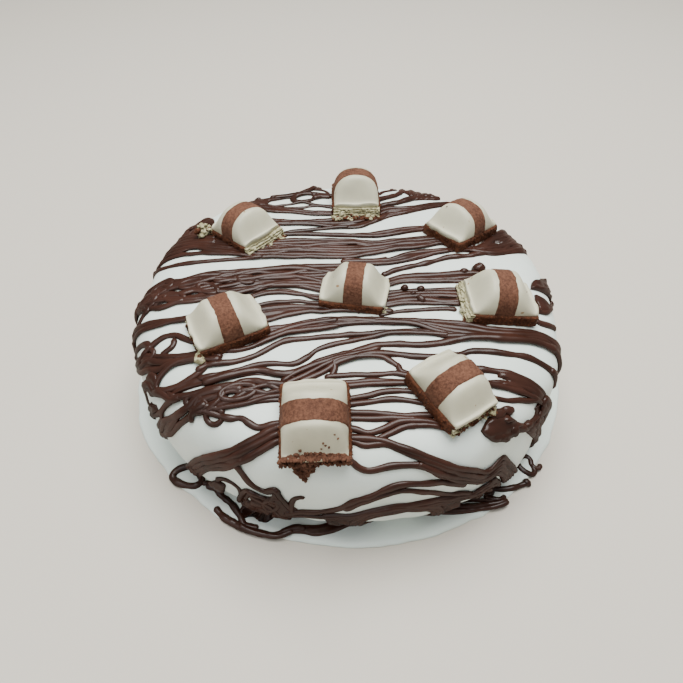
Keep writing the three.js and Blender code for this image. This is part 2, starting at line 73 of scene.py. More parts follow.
# Waves of the outlines round the cake: share of the radius, kind, number and phase
CAKE_WAVES = ((0.007, np.cos, 2, 0), (-0.007, np.cos, 3, 0), (0.005, np.sin, 3, 0), (-0.013, np.cos, 4, 0))
POOL_WAVES = ((0.035, np.cos, 2, 0), (0.004, np.sin, 5, 1), (0.003, np.sin, 9, 2), (0.002, np.sin, 17, 0))


def waved(angle, waves):
    """An outline's radius at an angle, over its mean radius."""
    share = 1
    for size, kind, number, phase in waves:
        share = share + size * kind(number * angle + phase)
    return share


def lobe(angle):
    return waved(angle, CAKE_WAVES)


def pool_edge(angle):
    return POOL_RADIUS * waved(angle, POOL_WAVES)


def run_along(points):
    """Distance along a route to each of its points."""
    return np.append(0, np.cumsum(np.hypot(*np.diff(points, axis=0).T)))


def make_profile():
    """The mean profile's radius and height against the distance along it from the top's middle."""
    a = (math.pi / 2) * (1 - np.arange(TOP_STEPS + 1) / TOP_STEPS)
    power = 2 / SHOULDER_POWER
    radius = CAKE_RADIUS * np.maximum(np.cos(a), 0) ** power
    height = BELLY_HEIGHT + (CAKE_HEIGHT - BELLY_HEIGHT) * np.maximum(np.sin(a), 0) ** power
    q = 1 - np.arange(1, SIDE_STEPS + 1) / SIDE_STEPS
    radius = np.append(radius, FOOT_RADIUS + (CAKE_RADIUS - FOOT_RADIUS) * np.sin(q * math.pi / 2))
    height = np.append(height, POOL_THICKNESS + (BELLY_HEIGHT - POOL_THICKNESS) * q)
    return run_along(np.stack([radius, height], -1)), radius, height


PROFILE_DISTANCE, PROFILE_RADIUS, PROFILE_HEIGHT = make_profile()
FOOT_DISTANCE = PROFILE_DISTANCE[-1]


def box_middle():
    """The middle of the pool's outline, which the frame has at its origin."""
    angle = np.arange(OUTLINE_SIDES) / OUTLINE_SIDES * 2 * math.pi
    x = pool_edge(angle) * np.cos(angle)
    y = pool_edge(angle) * np.sin(angle)
    return np.array([(x.min() + x.max()) / 2, (y.min() + y.max()) / 2, 0])


SHIFT = -box_middle()


def drape(x, y):
    """The cake's surface at draped places, whose distance from the middle runs along the surface."""
    x, y = np.broadcast_arrays(np.asarray(x, float), np.asarray(y, float))
    angle = np.arctan2(y, x)
    k = lobe(angle)
    distance = np.hypot(x, y) / k
    out = np.maximum(distance - FOOT_DISTANCE, 0)
    radius = np.interp(distance, PROFILE_DISTANCE, PROFILE_RADIUS) + out
    height = np.interp(distance, PROFILE_DISTANCE, PROFILE_HEIGHT)
    slope = (POOL_THICKNESS - POOL_LIP) / (POOL_RADIUS - FOOT_RADIUS)
    height = np.where(out > 0, np.maximum(POOL_THICKNESS - out * slope, POOL_LIP), height)
    py = radius * k * np.sin(angle)
    risen = np.clip((height - BELLY_HEIGHT) / (CAKE_HEIGHT - BELLY_HEIGHT), 0, 1)
    return np.stack([radius * k * np.cos(angle), py, height + TOP_LEAN * py * risen], -1)


def unit(vectors):
    return vectors / np.maximum(np.linalg.norm(vectors, axis=-1, keepdims=True), 1e-9)


def drape_normal(x, y):
    along_x = drape(x + NORMAL_STEP, y) - drape(x - NORMAL_STEP, y)
    along_y = drape(x, y + NORMAL_STEP) - drape(x, y - NORMAL_STEP)
    return unit(np.cross(along_x, along_y))


def top_height(x, y):
    angle = math.atan2(y, x)
    q = min(math.hypot(x, y) / (CAKE_RADIUS * lobe(angle)), 1)
    z = BELLY_HEIGHT + (CAKE_HEIGHT - BELLY_HEIGHT) * (1 - q ** SHOULDER_POWER) ** (1 / SHOULDER_POWER)
    return z + TOP_LEAN * y * (z - BELLY_HEIGHT) / (CAKE_HEIGHT - BELLY_HEIGHT)


def points_at(x, y, z=0.0):
    return np.stack(np.broadcast_arrays(x, y, z), -1)


def turned(x, y, degrees):
    """Places turned about the origin."""
    t = math.radians(degrees)
    return x * math.cos(t) - y * math.sin(t), x * math.sin(t) + y * math.cos(t)


def smoothstep(t, low, high):
    s = np.clip((t - low) / (high - low), 0, 1)
    return s * s * (3 - 2 * s)


# Lattice noise: smooth numbers from -1 to 1 over space
LATTICE = rng.uniform(-1, 1, 4096)
LATTICE_STRIDES = np.array([1619, 31337, 6971])
SALT_STRIDE = 1013
ROUGH_FALL = 1.8
ROUGH_SUM = 1.6


def lattice_noise(points, size, salt=0):
    p = np.asarray(points, float) / size
    cell = np.floor(p).astype(np.int64)
    f = p - cell
    f = f * f * (3 - 2 * f)
    total = np.zeros(p.shape[:-1])
    for corner in range(8):
        offset = np.array([corner & 1, (corner >> 1) & 1, (corner >> 2) & 1])
        key = ((cell + offset) @ LATTICE_STRIDES + salt * SALT_STRIDE) % len(LATTICE)
        total += np.prod(np.where(offset == 1, f, 1 - f), axis=-1) * LATTICE[key]
    return total


def layered(points, layers, salt=0):
    """Noise in layers, each given as height, size across and salt."""
    return sum(height * lattice_noise(points, size, salt + more) for height, size, more in layers)


def rough_noise(points, size, octaves, salt):
    layers = [(1 / ROUGH_FALL ** i, size / 2 ** i, i) for i in range(octaves)]
    return layered(points, layers, salt) / ROUGH_SUM


# The cream's relief on the top, on the side and on the pool
TOP_LAYERS = ((0.38, 34, 3), (0.14, 13, 4))
SIDE_LAYERS = ((1.1, 22, 5), (0.4, 9, 6))
POOL_LAYERS = ((0.25, 7, 7),)
# Draped distances over which the side's relief comes in and goes, and the pool's comes in
SIDE_IN = (84, 102)
SIDE_OUT = (150, 142)
POOL_IN = (142, 148)


def swell(x, y):
    """How far the cream stands above the mean surface, along its normal."""
    place = points_at(x, y)
    distance = np.hypot(x, y)
    into_side, out_of_side, pool = (np.clip((distance - start) / (end - start), 0, 1)
                                    for start, end in (SIDE_IN, SIDE_OUT, POOL_IN))
    relief = layered(place, TOP_LAYERS) * (1 - 0.5 * pool)
    return relief + into_side * out_of_side * layered(place, SIDE_LAYERS) + pool * layered(place, POOL_LAYERS)


def cream_at(x, y):
    """The cream's surface and its normal at draped places."""
    normal = drape_normal(x, y)
    return drape(x, y) + normal * swell(x, y)[..., None], normal


# Meshes

# No look stands higher than the solids
TALLEST = cad_box[1][2] / MM - 0.02


def new_piece(name, points, faces, material, slot, node):
    mesh = bpy.data.meshes.new(name)
    points[:, 2] = np.minimum(points[:, 2], TALLEST)
    mesh.from_pydata(((points + SHIFT) * MM).tolist(), [], faces)
    mesh.validate()
    mesh.polygons.foreach_set("use_smooth", [True] * len(mesh.polygons))
    mesh.materials.append(material)
    mesh.update()
    piece = bpy.data.objects.new(name, mesh)
    bpy.context.scene.collection.objects.link(piece)
    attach(piece, "root")
    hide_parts(node)


def grid_faces(rows, columns, wrap_columns=False, first=0):
    """Quads over a grid of points given row by row."""
    faces = []
    for r in range(rows - 1):
        for c in range(columns if wrap_columns else columns - 1):
            c2 = (c + 1) % columns
            faces.append((first + r * columns + c, first + r * columns + c2,
                          first + (r + 1) * columns + c2, first + (r + 1) * columns + c))
    return faces


def flip(faces):
    return [tuple(reversed(f)) for f in faces]


def moved(faces, start):
    return [tuple(start + i for i in f) for f in faces]


def fan(tip, first, count):
    """Triangles from a tip to a ring of points."""
    return [(tip, first + i, first + (i + 1) % count) for i in range(count)]


def capped(rings, first_tip, last_tip, upward=False):
    """A closed tube through rings of points, from the top down unless upward, with a tip at each end."""
    rings = np.asarray(rings)
    rows, count = rings.shape[:2]
    last = rows * count + 1
    faces = flip(grid_faces(rows, count, True, 1)) + fan(0, 1, count) + flip(fan(last, last - count, count))
    points = np.concatenate([[first_tip], rings.reshape(-1, 3), [last_tip]])
    return points, flip(faces) if upward else faces


def slab(upper, lower, inside_out=False):
    """A closed sheet between two grids of points of one shape."""
    rows, columns = upper.shape[:2]
    n = rows * columns
    grid = grid_faces(rows, columns)
    rim = [r * columns for r in range(rows)] + [(rows - 1) * columns + c for c in range(1, columns)]
    rim += [r * columns + columns - 1 for r in range(rows - 2, -1, -1)] + list(range(columns - 2, 0, -1))
    faces = flip(grid) + moved(grid, n) + [(a, n + a, n + b, b) for a, b in zip(rim, rim[1:] + rim[:1])]
    points = np.concatenate([upper.reshape(-1, 3), lower.reshape(-1, 3)])
    return points, flip(faces) if inside_out else faces


def join(parts):
    """Several sets of points and faces as one."""
    faces, start = [], 0
    for points, some_faces in parts:
        faces += moved(some_faces, start)
        start += len(points)
    return np.concatenate([points for points, _ in parts]), faces


# Materials

# Sockets of the mix node when it mixes colours
MIX_SHARE, MIX_FIRST, MIX_SECOND, MIX_RESULT = 0, 6, 7, 2


def linear(r, g, b):
    """A colour as the eye names it, from 0 to 255, in the linear values that shaders take."""
    values = [c / 255 for c in (r, g, b)]
    return [c / 12.92 if c <= 0.04045 else ((c + 0.055) / 1.055) ** 2.4 for c in values] + [1]


class Finish:
    """A material whose colour, roughness and fine relief vary with noise."""

    def __init__(self, name):
        self.material = bpy.data.materials.new(name)
        self.material.use_nodes = True
        self.tree = self.material.node_tree
        self.shader = self.tree.nodes["Principled BSDF"]
        self.place = self.tree.nodes.new("ShaderNodeTexCoord")

    def set(self, **values):
        for socket, value in values.items():
            self.shader.inputs[socket.replace("_", " ")].default_value = value

    def node(self, kind, **values):
        node = self.tree.nodes.new("ShaderNode" + kind)
        for socket, value in values.items():
            node.inputs[socket.replace("_", " ")].default_value = value
        return node

    def link(self, a, b):
        self.tree.links.new(a, b)

    def noise(self, scale, detail=3, rough=0.55):
        node = self.node("TexNoise", Scale=scale, Detail=detail, Roughness=rough)
        self.link(self.place.outputs["Object"], node.inputs["Vector"])
        return node.outputs["Fac"]

    def ramp(self, source, stops):
        node = self.node("ValToRGB")
        elements = node.color_ramp.elements
        while len(elements) < len(stops):
            elements.new(0.5)
        for element, (position, colour) in zip(elements, stops):
            element.position = position
            element.color = colour
        self.link(source, node.inputs["Fac"])
        return node.outputs["Color"]

    def blend(self, share, first, second):
        node = self.node("Mix")
        node.data_type = "RGBA"
        for source, socket in ((share, MIX_SHARE), (first, MIX_FIRST), (second, MIX_SECOND)):
            if isinstance(source, bpy.types.NodeSocket):
                self.link(source, node.inputs[socket])
            else:
                node.inputs[socket].default_value = source
        return node.outputs[MIX_RESULT]

    def colour(self, source):
        self.link(source, self.shader.inputs["Base Color"])

    def roughness(self, source, low, high):
        node = self.node("MapRange", To_Min=low, To_Max=high)
        self.link(source, node.inputs["Value"])
        self.link(node.outputs["Result"], self.shader.inputs["Roughness"])

    def relief(self, source, strength, depth):
        node = self.node("Bump", Strength=strength, Distance=depth)
        self.link(source, node.inputs["Height"])
        self.link(node.outputs["Normal"], self.shader.inputs["Normal"])


def cream_finish():
    f = Finish("cream")
    fine = f.noise(420, 4)
    f.colour(f.ramp(f.noise(28, 4), [(0.3, linear(229, 237, 231)), (0.7, linear(220, 229, 220))]))
    f.roughness(fine, 0.42, 0.6)
    f.relief(fine, 0.12, 0.0006)
    f.set(Subsurface_Weight=0.12, Subsurface_Radius=(0.004, 0.0035, 0.003), Subsurface_Scale=0.6)
    return f.material


def chocolate_finish():
    f = Finish("dark_chocolate")
    broad = f.noise(60)
    f.colour(f.ramp(broad, [(0.3, linear(43, 24, 17)), (0.7, linear(63, 37, 29))]))
    f.roughness(broad, 0.26, 0.38)
    f.relief(f.noise(650), 0.12, 0.0004)
    f.set(Specular_IOR_Level=0.0, Coat_Weight=0.2, Coat_IOR=2.0, Coat_Roughness=0.25)
    return f.material


def coat_finish():
    f = Finish("white_coat")
    fine = f.noise(900)
    tone = f.ramp(f.noise(90), [(0.3, linear(202, 197, 172)), (0.7, linear(189, 184, 160))])
    tan = f.ramp(f.noise(330, 1), [(0.74, (0, 0, 0, 1)), (0.78, (1, 1, 1, 1))])
    f.colour(f.blend(tan, tone, linear(150, 116, 78)))
    f.roughness(fine, 0.4, 0.55)
    f.relief(fine, 0.1, 0.0003)
    f.set(Subsurface_Weight=0.1, Subsurface_Radius=(0.002, 0.0017, 0.0012), Subsurface_Scale=0.5)
    return f.material


def cocoa_finish(name, light, dark):
    f = Finish(name)
    grain = f.noise(950, 3, 0.7)
    tone = f.ramp(grain, [(0.38, dark), (0.62, light)])
    f.colour(f.blend(0.35, tone, f.ramp(f.noise(160), [(0.3, dark), (0.7, light)])))
    f.roughness(grain, 0.7, 0.95)
    f.relief(grain, 0.5, 0.0006)
    f.set(Specular_IOR_Level=0.18)
    return f.material


def wafer_finish():
    f = Finish("wafer")
    pores = f.noise(800, 3, 0.7)
    f.colour(f.ramp(pores, [(0.3, linear(112, 99, 64)), (0.5, linear(168, 161, 125)),
                            (0.72, linear(204, 200, 168))]))
    f.roughness(pores, 0.75, 0.95)
    f.relief(pores, 0.6, 0.0007)
    return f.material


CREAM = cream_finish()
CHOCOLATE = chocolate_finish()
COAT = coat_finish()
BAND = cocoa_finish("cocoa_band", linear(118, 80, 62), linear(74, 45, 33))
BASE = cocoa_finish("cocoa_base", linear(104, 61, 40), linear(46, 23, 13))
WAFER = wafer_finish()

# Cream

CREAM_SIDES = 320
CREAM_RINGS = np.concatenate([np.arange(1.5, 84, 1.65), np.arange(84, FOOT_DISTANCE, 1.15)])
POOL_RINGS = 14
# The pool's rim ripples inwards from its outline: layers of noise on a circle, and their mean
RIM_INSET = 0.25
RIM_CIRCLE = 100
RIM_LAYERS = ((0.7, 6, 11), (0.9, 15, 12))
RIM_MEAN = 0.9
# The pool's top falls from a fillet at the foot to its lip
LIP_WIDTH = 1.2
LIP_RISE = 0.3
FILLET_HEIGHT = 2.0
FILLET_FALL = 9
POOL_RELIEF = ((0.3, 11, 13),)
# The lip's rounded edge: inset from the rim, and height
LIP_RINGS = ((0.5, 1.25), (0.1, 0.8), (0, 0.35), (0.15, 0.0))


def cream_body():
    """The coat over the dome and the side, and the pool at their foot."""
    angle = np.arange(CREAM_SIDES) / CREAM_SIDES * 2 * math.pi
    circle = points_at(np.cos(angle), np.sin(angle))
    k = lobe(angle)
    rings = [cream_at(*(distance * k * circle[:, :2].T))[0] for distance in CREAM_RINGS]
    foot = drape(*(FOOT_DISTANCE * k * circle[:, :2].T))
    foot_radius = np.hypot(foot[:, 0], foot[:, 1])
    ripple = layered(circle * RIM_CIRCLE, RIM_LAYERS)
    rim = pool_edge(angle) - RIM_INSET - np.maximum(ripple + RIM_MEAN, 0)
    for share in np.linspace(0, 1, POOL_RINGS):
        ring = circle * (foot_radius + (rim - LIP_WIDTH - foot_radius) * share)[:, None]
        fillet = FILLET_HEIGHT * np.exp(-share * FILLET_FALL)
        level = POOL_THICKNESS + fillet - (POOL_THICKNESS - POOL_LIP - LIP_RISE) * share
        ring[:, 2] = level + layered(ring, POOL_RELIEF) * min(1, share * 4)
        rings.append(ring)
    for inset, height in LIP_RINGS:
        ring = circle * (rim - inset)[:, None]
        ring[:, 2] = height
        rings.append(ring)
    top = drape(0.0, 0.0) + [0, 0, swell(0.0, 0.0)]
    points, faces = capped(rings, top, [0, 0, 0])
    new_piece("cream", points, faces, CREAM, "cream", "cake")


cream_body()

# Pieces of wafer bar

# Place and turn on the cake, length, width, height, lean, depth in the cream, and whether the
# wafer shows at the first and second end along the length
BARS = [
    ("bar_1", -50, 32.5, -42, 30, 24.4, 16.4, 2, 1, (1, 1)),
    ("bar_2", 3.7, 62.7, 91.2, 31, 25, 18, 0, 1, (1, 0)),
    ("bar_3", 54.8, 35.8, 41.2, 30.5, 24.4, 16.6, -2, 1, (0, 0)),
    ("bar_4", -49.8, -33.3, 26, 30.2, 24, 15.8, 0, 1, (1, 0)),
    ("bar_5", 2.5, -12.3, -9, 29.6, 23, 16.6, -4, 2.6, (0, 1)),
    ("bar_6", 62.3, -18.2, 2.3, 30.4, 24.2, 16.8, -2, 1, (1, 0)),
    ("bar_7", -12.7, -78.2, 90.8, 29.6, 25.6, 18.2, 2, 1, (0, 0)),
    ("bar_8", 36.6, -65.6, 124.8, 28.8, 24, 15.8, 5, 1, (1, 0)),
]
# How far crumbs lie out from a broken end, and how open the end is under the coat, where not 0 and 1
SPILL = {"bar_1": 1.6, "bar_2": 3.4, "bar_6": 0.5}
OPENNESS = {"bar_4": 0.1, "bar_5": 0.3, "bar_8": 0.15}
# The cake's slope under a bar is taken over this distance each way
TILT_REACH = 12

TRAY_HEIGHT = 4.6
# The tray and the coat end short of the bar's length, more so at a broken end
TRAY_BACK = 0.25
TRAY_BACK_BROKEN = 0.9
BROKEN_BACK = 1.4
COAT_BACK = 1.3

# The coat is an arch over the middle of the length, and sinks to a low lip at each end
COAT_WALL = 5.8
COAT_INSET = 1.2
COAT_THICKNESS = 0.5
LIP_HEIGHT = 7.6
CROWN_SHARE = 0.34
LIP_SHARE = 0.92
ARCH_POWER = 2.3
LIP_POWER = 6
VALLEY_DEPTH = 0.8
VALLEY_SHARE = 0.86
END_BOW = 0.05
WAIST = 0.05
COAT_COLUMNS, COAT_ROWS = 54, 42
EDGE_SHARE = 0.9
EDGE_DROP = 0.5
# The coat's ends are drawn in this far, and its lower edge stays this far above the tray
COAT_DRAWN_IN = 0.25
WALL_CLEAR = 0.15
# Shares of the half length over which the dents come in
DENT_RANGE = (0.4, 0.6)
# Noise on the coat: height, size across and salt
END_LAYERS = ((0.35, 3.2, 0),)
SKIN_LAYERS = ((0.2, 5, 1),)
DENT_LAYERS = ((0.35, 9, 2),)
SIDE_WAVES = ((0.006, 4, 2),)
WALL_LAYERS = ((0.45, 2.6, 3),)

# The band over the crown: share of the half length, lift above the coat, width past it and grain
BAND_SHARE = 0.27
BAND_COLUMNS, BAND_ROWS = 26, 92
BAND_LIFT = 0.26
BAND_WIDER = 0.2
BAND_GRAIN, BAND_GRAIN_SIZE = 0.17, 1.3
# It falls away from this share of its half length, by this much, and its inside is this far down
BAND_EDGE, BAND_FALL = 0.86, 0.5
BAND_INNER, BAND_DEPTH = 0.94, 0.9
# Waves of its edges over its half width: share of the half length, size across and salt
BAND_WAVES = ((0.012, 2.6, 4),)
BAND_HALF_WIDTH = 12

# Sheets of wafer: their number, lowest height, rise to the highest, and how far in they reach
WAFER_LAYERS = 5
WAFER_LOW = 0.7
WAFER_RISE = 3.8
WAFER_INSET = 0.9
WAFER_DEPTH = 5.0
SHEET_COLUMNS, SHEET_ROWS = 60, 14
# Sheets take up these shares of their room by turns
SHEET_SHARES = (0.7, 0.86)
# A sheet's torn edge: its ripples, its notches, and the level of noise that they start from
TORN_REACH, TORN_SIZE = 0.55, 1.7
NOTCH_DEPTH, NOTCH_SIZE, NOTCH_FROM = 1.3, 3.4, 0.15
# The lowest sheet stands out this far, and the top one, every other one and all at an end under
# the coat stay back this far
LOW_SHEET_OUT = 0.9
TOP_SHEET_BACK, OTHER_SHEET_BACK, COVERED_BACK = 0.7, 0.4, 1.1
# No sheet stands out further than this
SHEET_MOST = 1.0
# Roughness of a sheet's skin, and its size across
SHEET_ROUGH, SHEET_GRAIN = 0.16, 1.6


class Bar:
    """Place and form of one piece of bar, in its own frame: along it, across it and up."""

    def __init__(self, name, x, y, turn, length, width, height, lean, sink, broken):
        self.name, self.x, self.y, self.turn = name, x, y, turn
        self.length, self.width, self.height = length, width, height
        self.broken = broken
        self.salt = 40 + 7 * int(name[-1])
        self.spill = SPILL.get(name, 0.0)
        self.openness = OPENNESS.get(name, 1.0)
        slope_x = (top_height(x + TILT_REACH, y) - top_height(x - TILT_REACH, y)) / (2 * TILT_REACH)
        slope_y = (top_height(x, y + TILT_REACH) - top_height(x, y - TILT_REACH)) / (2 * TILT_REACH)
        up = Vector((-slope_x, -slope_y, 1)).normalized()
        t = math.radians(turn)
        along = Vector((math.cos(t), math.sin(t), 0))
        along = (along - up * along.dot(up)).normalized()
        lean_angle = math.radians(lean)
        up = up * math.cos(lean_angle) + along.cross(up) * math.sin(lean_angle)
        self.basis = np.array([along, up.cross(along), up])
        self.origin = np.array([x, y, top_height(x, y)]) - sink * self.basis[2]

    def world(self, points):
        return points @ self.basis + self.origin

    def surface(self, u, v):
        """Height of the upper surface, at shares of the half length and half width."""
        m = np.abs(u)
        side = np.minimum(np.abs(v), 1)
        crown = COAT_WALL + (self.height - COAT_WALL) * (1 - side ** ARCH_POWER) ** (1 / ARCH_POWER)
        valley = LIP_HEIGHT - VALLEY_DEPTH * (1 - smoothstep(m, VALLEY_SHARE, 1))
        lip = COAT_WALL + (valley - COAT_WALL) * (1 - side ** LIP_POWER) ** 0.5
        return crown + (lip - crown) * smoothstep(m, CROWN_SHARE, LIP_SHARE)

    def half_width(self, u):
        return (self.width / 2 - COAT_INSET) * (1 - WAIST * u ** 8)

    def covers(self, x, y, inset):
        """Whether draped places lie under the bar."""
        u, v = turned(x - self.x, y - self.y, -self.turn)
        return (np.abs(u) < self.length / 2 - inset) & (np.abs(v) < self.width / 2 - inset)

    def piece(self, look, points, faces, material, slot, node):
        new_piece(self.name + look, self.world(points), faces, material, slot, self.name + node)


def shares_across(columns, reach, rows):
    """A grid of shares along a bar, and across it with the rows closer together at its sides."""
    return np.meshgrid(np.linspace(-reach, reach, columns),
                       np.sin(np.linspace(-1, 1, rows) * math.pi / 2), indexing="ij")


def bar_coat(bar):
    """White coat: its upper surface, thin wavy edges and a hollow underside."""
    uu, vv = shares_across(COAT_COLUMNS, 1, COAT_ROWS)
    sign = np.sign(uu)
    back = bar.openness * COAT_BACK * np.where(uu < 0, *bar.broken)
    x = uu * (1 - END_BOW * uu ** 4 * vv ** 2) * bar.length / 2 - sign * back * uu ** 6
    y = vv * bar.half_width(uu)
    height = bar.surface(uu, vv)
    place = points_at(x, y, height)
    edge_u = smoothstep(np.abs(uu), EDGE_SHARE, 1.0)
    edge_v = smoothstep(np.abs(vv), EDGE_SHARE, 1.0)
    x = x - sign * edge_u * (COAT_DRAWN_IN + layered(place * [0, 1, 0], END_LAYERS, bar.salt))
    y = y * (1 + layered(place * [1, 0, 0], SIDE_WAVES, bar.salt) * edge_v)
    height = height + layered(place, SKIN_LAYERS, bar.salt) - EDGE_DROP * edge_u ** 3
    height = height + layered(place, DENT_LAYERS, bar.salt) * smoothstep(np.abs(uu), *DENT_RANGE)
    wall = TRAY_HEIGHT + WALL_CLEAR + layered(place * [1, 0.2, 0], WALL_LAYERS, bar.salt)
    lower = points_at(x, y, np.minimum(wall, height - COAT_THICKNESS))
    bar.piece("_white_coat", *slab(points_at(x, y, height), lower), COAT, "white_coat", "_coat")


def bar_band(bar):
    """Grainy cocoa band over the crown, as a thick arch from side to side."""
    uu, vv = shares_across(BAND_COLUMNS, BAND_SHARE, BAND_ROWS)
    wavy = layered(points_at(vv * BAND_HALF_WIDTH, 0 * vv), BAND_WAVES, bar.salt)
    x = (uu + wavy * uu / BAND_SHARE) * bar.length / 2
    y = vv * (bar.half_width(uu) + BAND_WIDER)
    z = bar.surface(uu, vv)
    edge = smoothstep(np.abs(uu) / BAND_SHARE, BAND_EDGE, 1.0)
    normal = unit(points_at(0 * uu, vv ** 3 * 1.2, 1 - np.abs(vv) ** 6))
    place = points_at(x, y, z)
    grain = BAND_GRAIN * rough_noise(place, BAND_GRAIN_SIZE, 3, bar.salt + 5)
    outer = place + normal * (BAND_LIFT + grain - BAND_FALL * edge)[..., None]
    inner = points_at(x, y * BAND_INNER, z - BAND_DEPTH)
    feet = [points_at(x[:, c], y[:, c] * share, TRAY_HEIGHT / 2)[:, None]
            for c, share in ((0, 1), (-1, 1), (-1, BAND_INNER), (0, BAND_INNER))]
    ring = np.concatenate([feet[0], outer, feet[1], feet[2], inner[:, ::-1], feet[3]], axis=1)
    count = ring.shape[1]
    faces = flip(grid_faces(BAND_COLUMNS, count, True))
    last = (BAND_COLUMNS - 1) * count
    for i in range(count // 2 - 1):
        faces.append((i + 1, i, count - 1 - i, count - 2 - i))
        faces.append((last + i, last + i + 1, last + count - 2 - i, last + count - 1 - i))
    return ring.reshape(-1, 3), faces


# The tray is a block with soft corners and a rough skin
TRAY_CORNER = 1.9
TRAY_LOW = 0.1
TRAY_OVERLAP = 0.75
TRAY_STEP = 0.5
TRAY_ROUGH = 0.5
TRAY_GRAIN = 1.5
# Share of the height and scale of the outline at each level, from the bottom up
TRAY_LEVELS = [(0, 0.86), (0, 0.97)] + [(t, 1.0) for t in np.linspace(0.12, 0.88, 8)] + [(1, 0.97), (1, 0.86)]


def bar_tray(bar):
    """The tray under the coat, cut back where an end is broken off."""
    back = [TRAY_BACK_BROKEN + BROKEN_BACK * bar.openness if broken else TRAY_BACK for broken in bar.broken]
    half_l, half_w = (bar.length - back[0] - back[1]) / 2, (bar.width - 0.5) / 2
    corner_x, corner_y = half_l - TRAY_CORNER, half_w - TRAY_CORNER
    outline = []
    for start, sign_x, sign_y in ((0, 1, 1), (90, -1, 1), (180, -1, -1), (270, 1, -1)):
        for a in np.radians(np.linspace(start, start + 90, 4)):
            outline.append((sign_x * corner_x + TRAY_CORNER * math.cos(a),
                            sign_y * corner_y + TRAY_CORNER * math.sin(a)))
    outline = np.array(outline + outline[:1])
    run = run_along(outline)
    around = np.arange(0, run[-1] - TRAY_STEP / 2, TRAY_STEP)
    ox, oy = (np.interp(around, run, outline[:, axis]) for axis in (0, 1))
    high = TRAY_HEIGHT + TRAY_OVERLAP
    place = np.array([points_at(ox * scale, oy * scale, TRAY_LOW + (high - TRAY_LOW) * share)
                      for share, scale in TRAY_LEVELS])
    salt = bar.salt + 6
    place += unit(place * [1, 1, 0]) * (TRAY_ROUGH * rough_noise(place, TRAY_GRAIN, 3, salt))[..., None]
    place[..., 2] += 0.5 * TRAY_ROUGH * rough_noise(place, TRAY_GRAIN, 2, salt + 1)
    points, faces = capped(place, [0, 0, TRAY_LOW], [0, 0, high], upward=True)
    return points + [(back[0] - back[1]) / 2, 0, 0], faces


def crumb(centre, size, salt, rows=5, columns=8):
    """A small angular lump."""
    polar = np.linspace(0.0, math.pi, rows + 2)[1:-1]
    turn = np.arange(columns) / columns * 2 * math.pi
    pp, tt = np.meshgrid(polar, turn, indexing="ij")
    way = points_at(np.sin(pp) * np.cos(tt), np.sin(pp) * np.sin(tt), np.cos(pp))
    radius = 1 + layered(way * 3, [(0.6, 1.4, salt)])
    tip = np.array([0, 0, size * 0.9])
    points, faces = capped(way * radius[..., None] * size, tip, -tip)
    stretch = np.array([1.15 - 0.1 * (salt % 4), 0.75 + 0.1 * (salt % 5), 0.6 + 0.1 * (salt % 3)])
    return points * stretch + centre, faces


# Cocoa at the front of bar_7: crumbs piled on its lip, and crumbs that hang down the cake's shoulder
PILED_BAR = "bar_7"
PILED, PILED_SIZES = 330, (0.4, 0.75)
HANGING, HANGING_SIZES = 70, (0.8, 1.5)
HANG_X, HANG_HALF_WIDTH = -17, 4.2
HANG_Y, HANG_LENGTH = -92.2, 6.5


def front_crumbs(bar):
    """Cocoa piled on the lip of an end and hanging from it over the cake's shoulder."""
    parts = []
    half_l, half_w = bar.length / 2, bar.width / 2
    for i in range(PILED):
        across = rng.uniform(-0.98, 0.98)
        reach = rng.uniform(-0.8, 0.4 + 2.4 * math.sqrt(1 - across ** 2))
        along = max(reach / half_l - 1, -1.0)
        z = float(bar.surface(along, across)) if reach > 0 else rng.uniform(2.6, 6.0)
        where = np.array([-half_l + reach, across * half_w * 0.97, z])
        points, faces = crumb(where, rng.uniform(*PILED_SIZES), bar.salt + i)
        parts.append((bar.world(points), faces))
    for i in range(HANGING):
        share = rng.uniform() ** 1.3
        x = HANG_X + rng.uniform(-HANG_HALF_WIDTH, HANG_HALF_WIDTH) * (1 - share) ** 0.8
        y = HANG_Y - HANG_LENGTH * share
        place = drape(x, y) + drape_normal(x, y) * rng.uniform(0, 2.2 * (1 - 0.7 * share))
        parts.append(crumb(place, rng.uniform(*HANGING_SIZES) * (1 - 0.4 * share), bar.salt + 200 + i))
    return join(parts)


GRAINS, GRAIN_SIZES = 210, (0.24, 0.5)


def grains(bar):
    """Coarse grains of cocoa on the sides of the tray."""
    parts = []
    half_l, half_w = bar.length / 2 - 0.2, bar.width / 2 - 0.25
    for i in range(GRAINS):
        t = rng.uniform(-1, 1)
        side = int(rng.integers(4))
        z = rng.uniform(0.3, TRAY_HEIGHT + 0.5)
        if side < 2:
            place = [t * (half_l - 2.2), (1, -1)[side] * half_w, z]
        elif bar.broken[3 - side] and bar.openness > 0.2:
            continue
        else:
            place = [(1, -1)[side - 2] * (half_l - 0.1), t * (half_w - 1.6), z]
        parts.append(crumb(np.array(place), rng.uniform(*GRAIN_SIZES), bar.salt + i, 4, 6))
    return parts


# Specks of cocoa on the coat: shares of the half length and half width
SPECK_SIZES = (0.3, 0.55)
SPECKS = {
    "bar_3": [(-0.45, 0.5)],
    "bar_5": [(-0.56, 0.54)],
    "bar_6": [(0.66, 0.4), (0.55, -0.45)],
    "bar_7": [(-0.77, 0.42), (-0.66, -0.25), (-0.7, -0.32), (-0.72, -0.42), (-0.75, -0.2), (-0.52, -0.6),
              (-0.58, -0.68)],
}


def specks(bar):
    """Loose cocoa on the coat."""
    parts = []
    for i, (u, v) in enumerate(SPECKS.get(bar.name, ())):
        place = np.array([u * bar.length / 2, v * bar.half_width(u), float(bar.surface(u, v))])
        parts.append(crumb(place, rng.uniform(*SPECK_SIZES), bar.salt + i))
    return parts


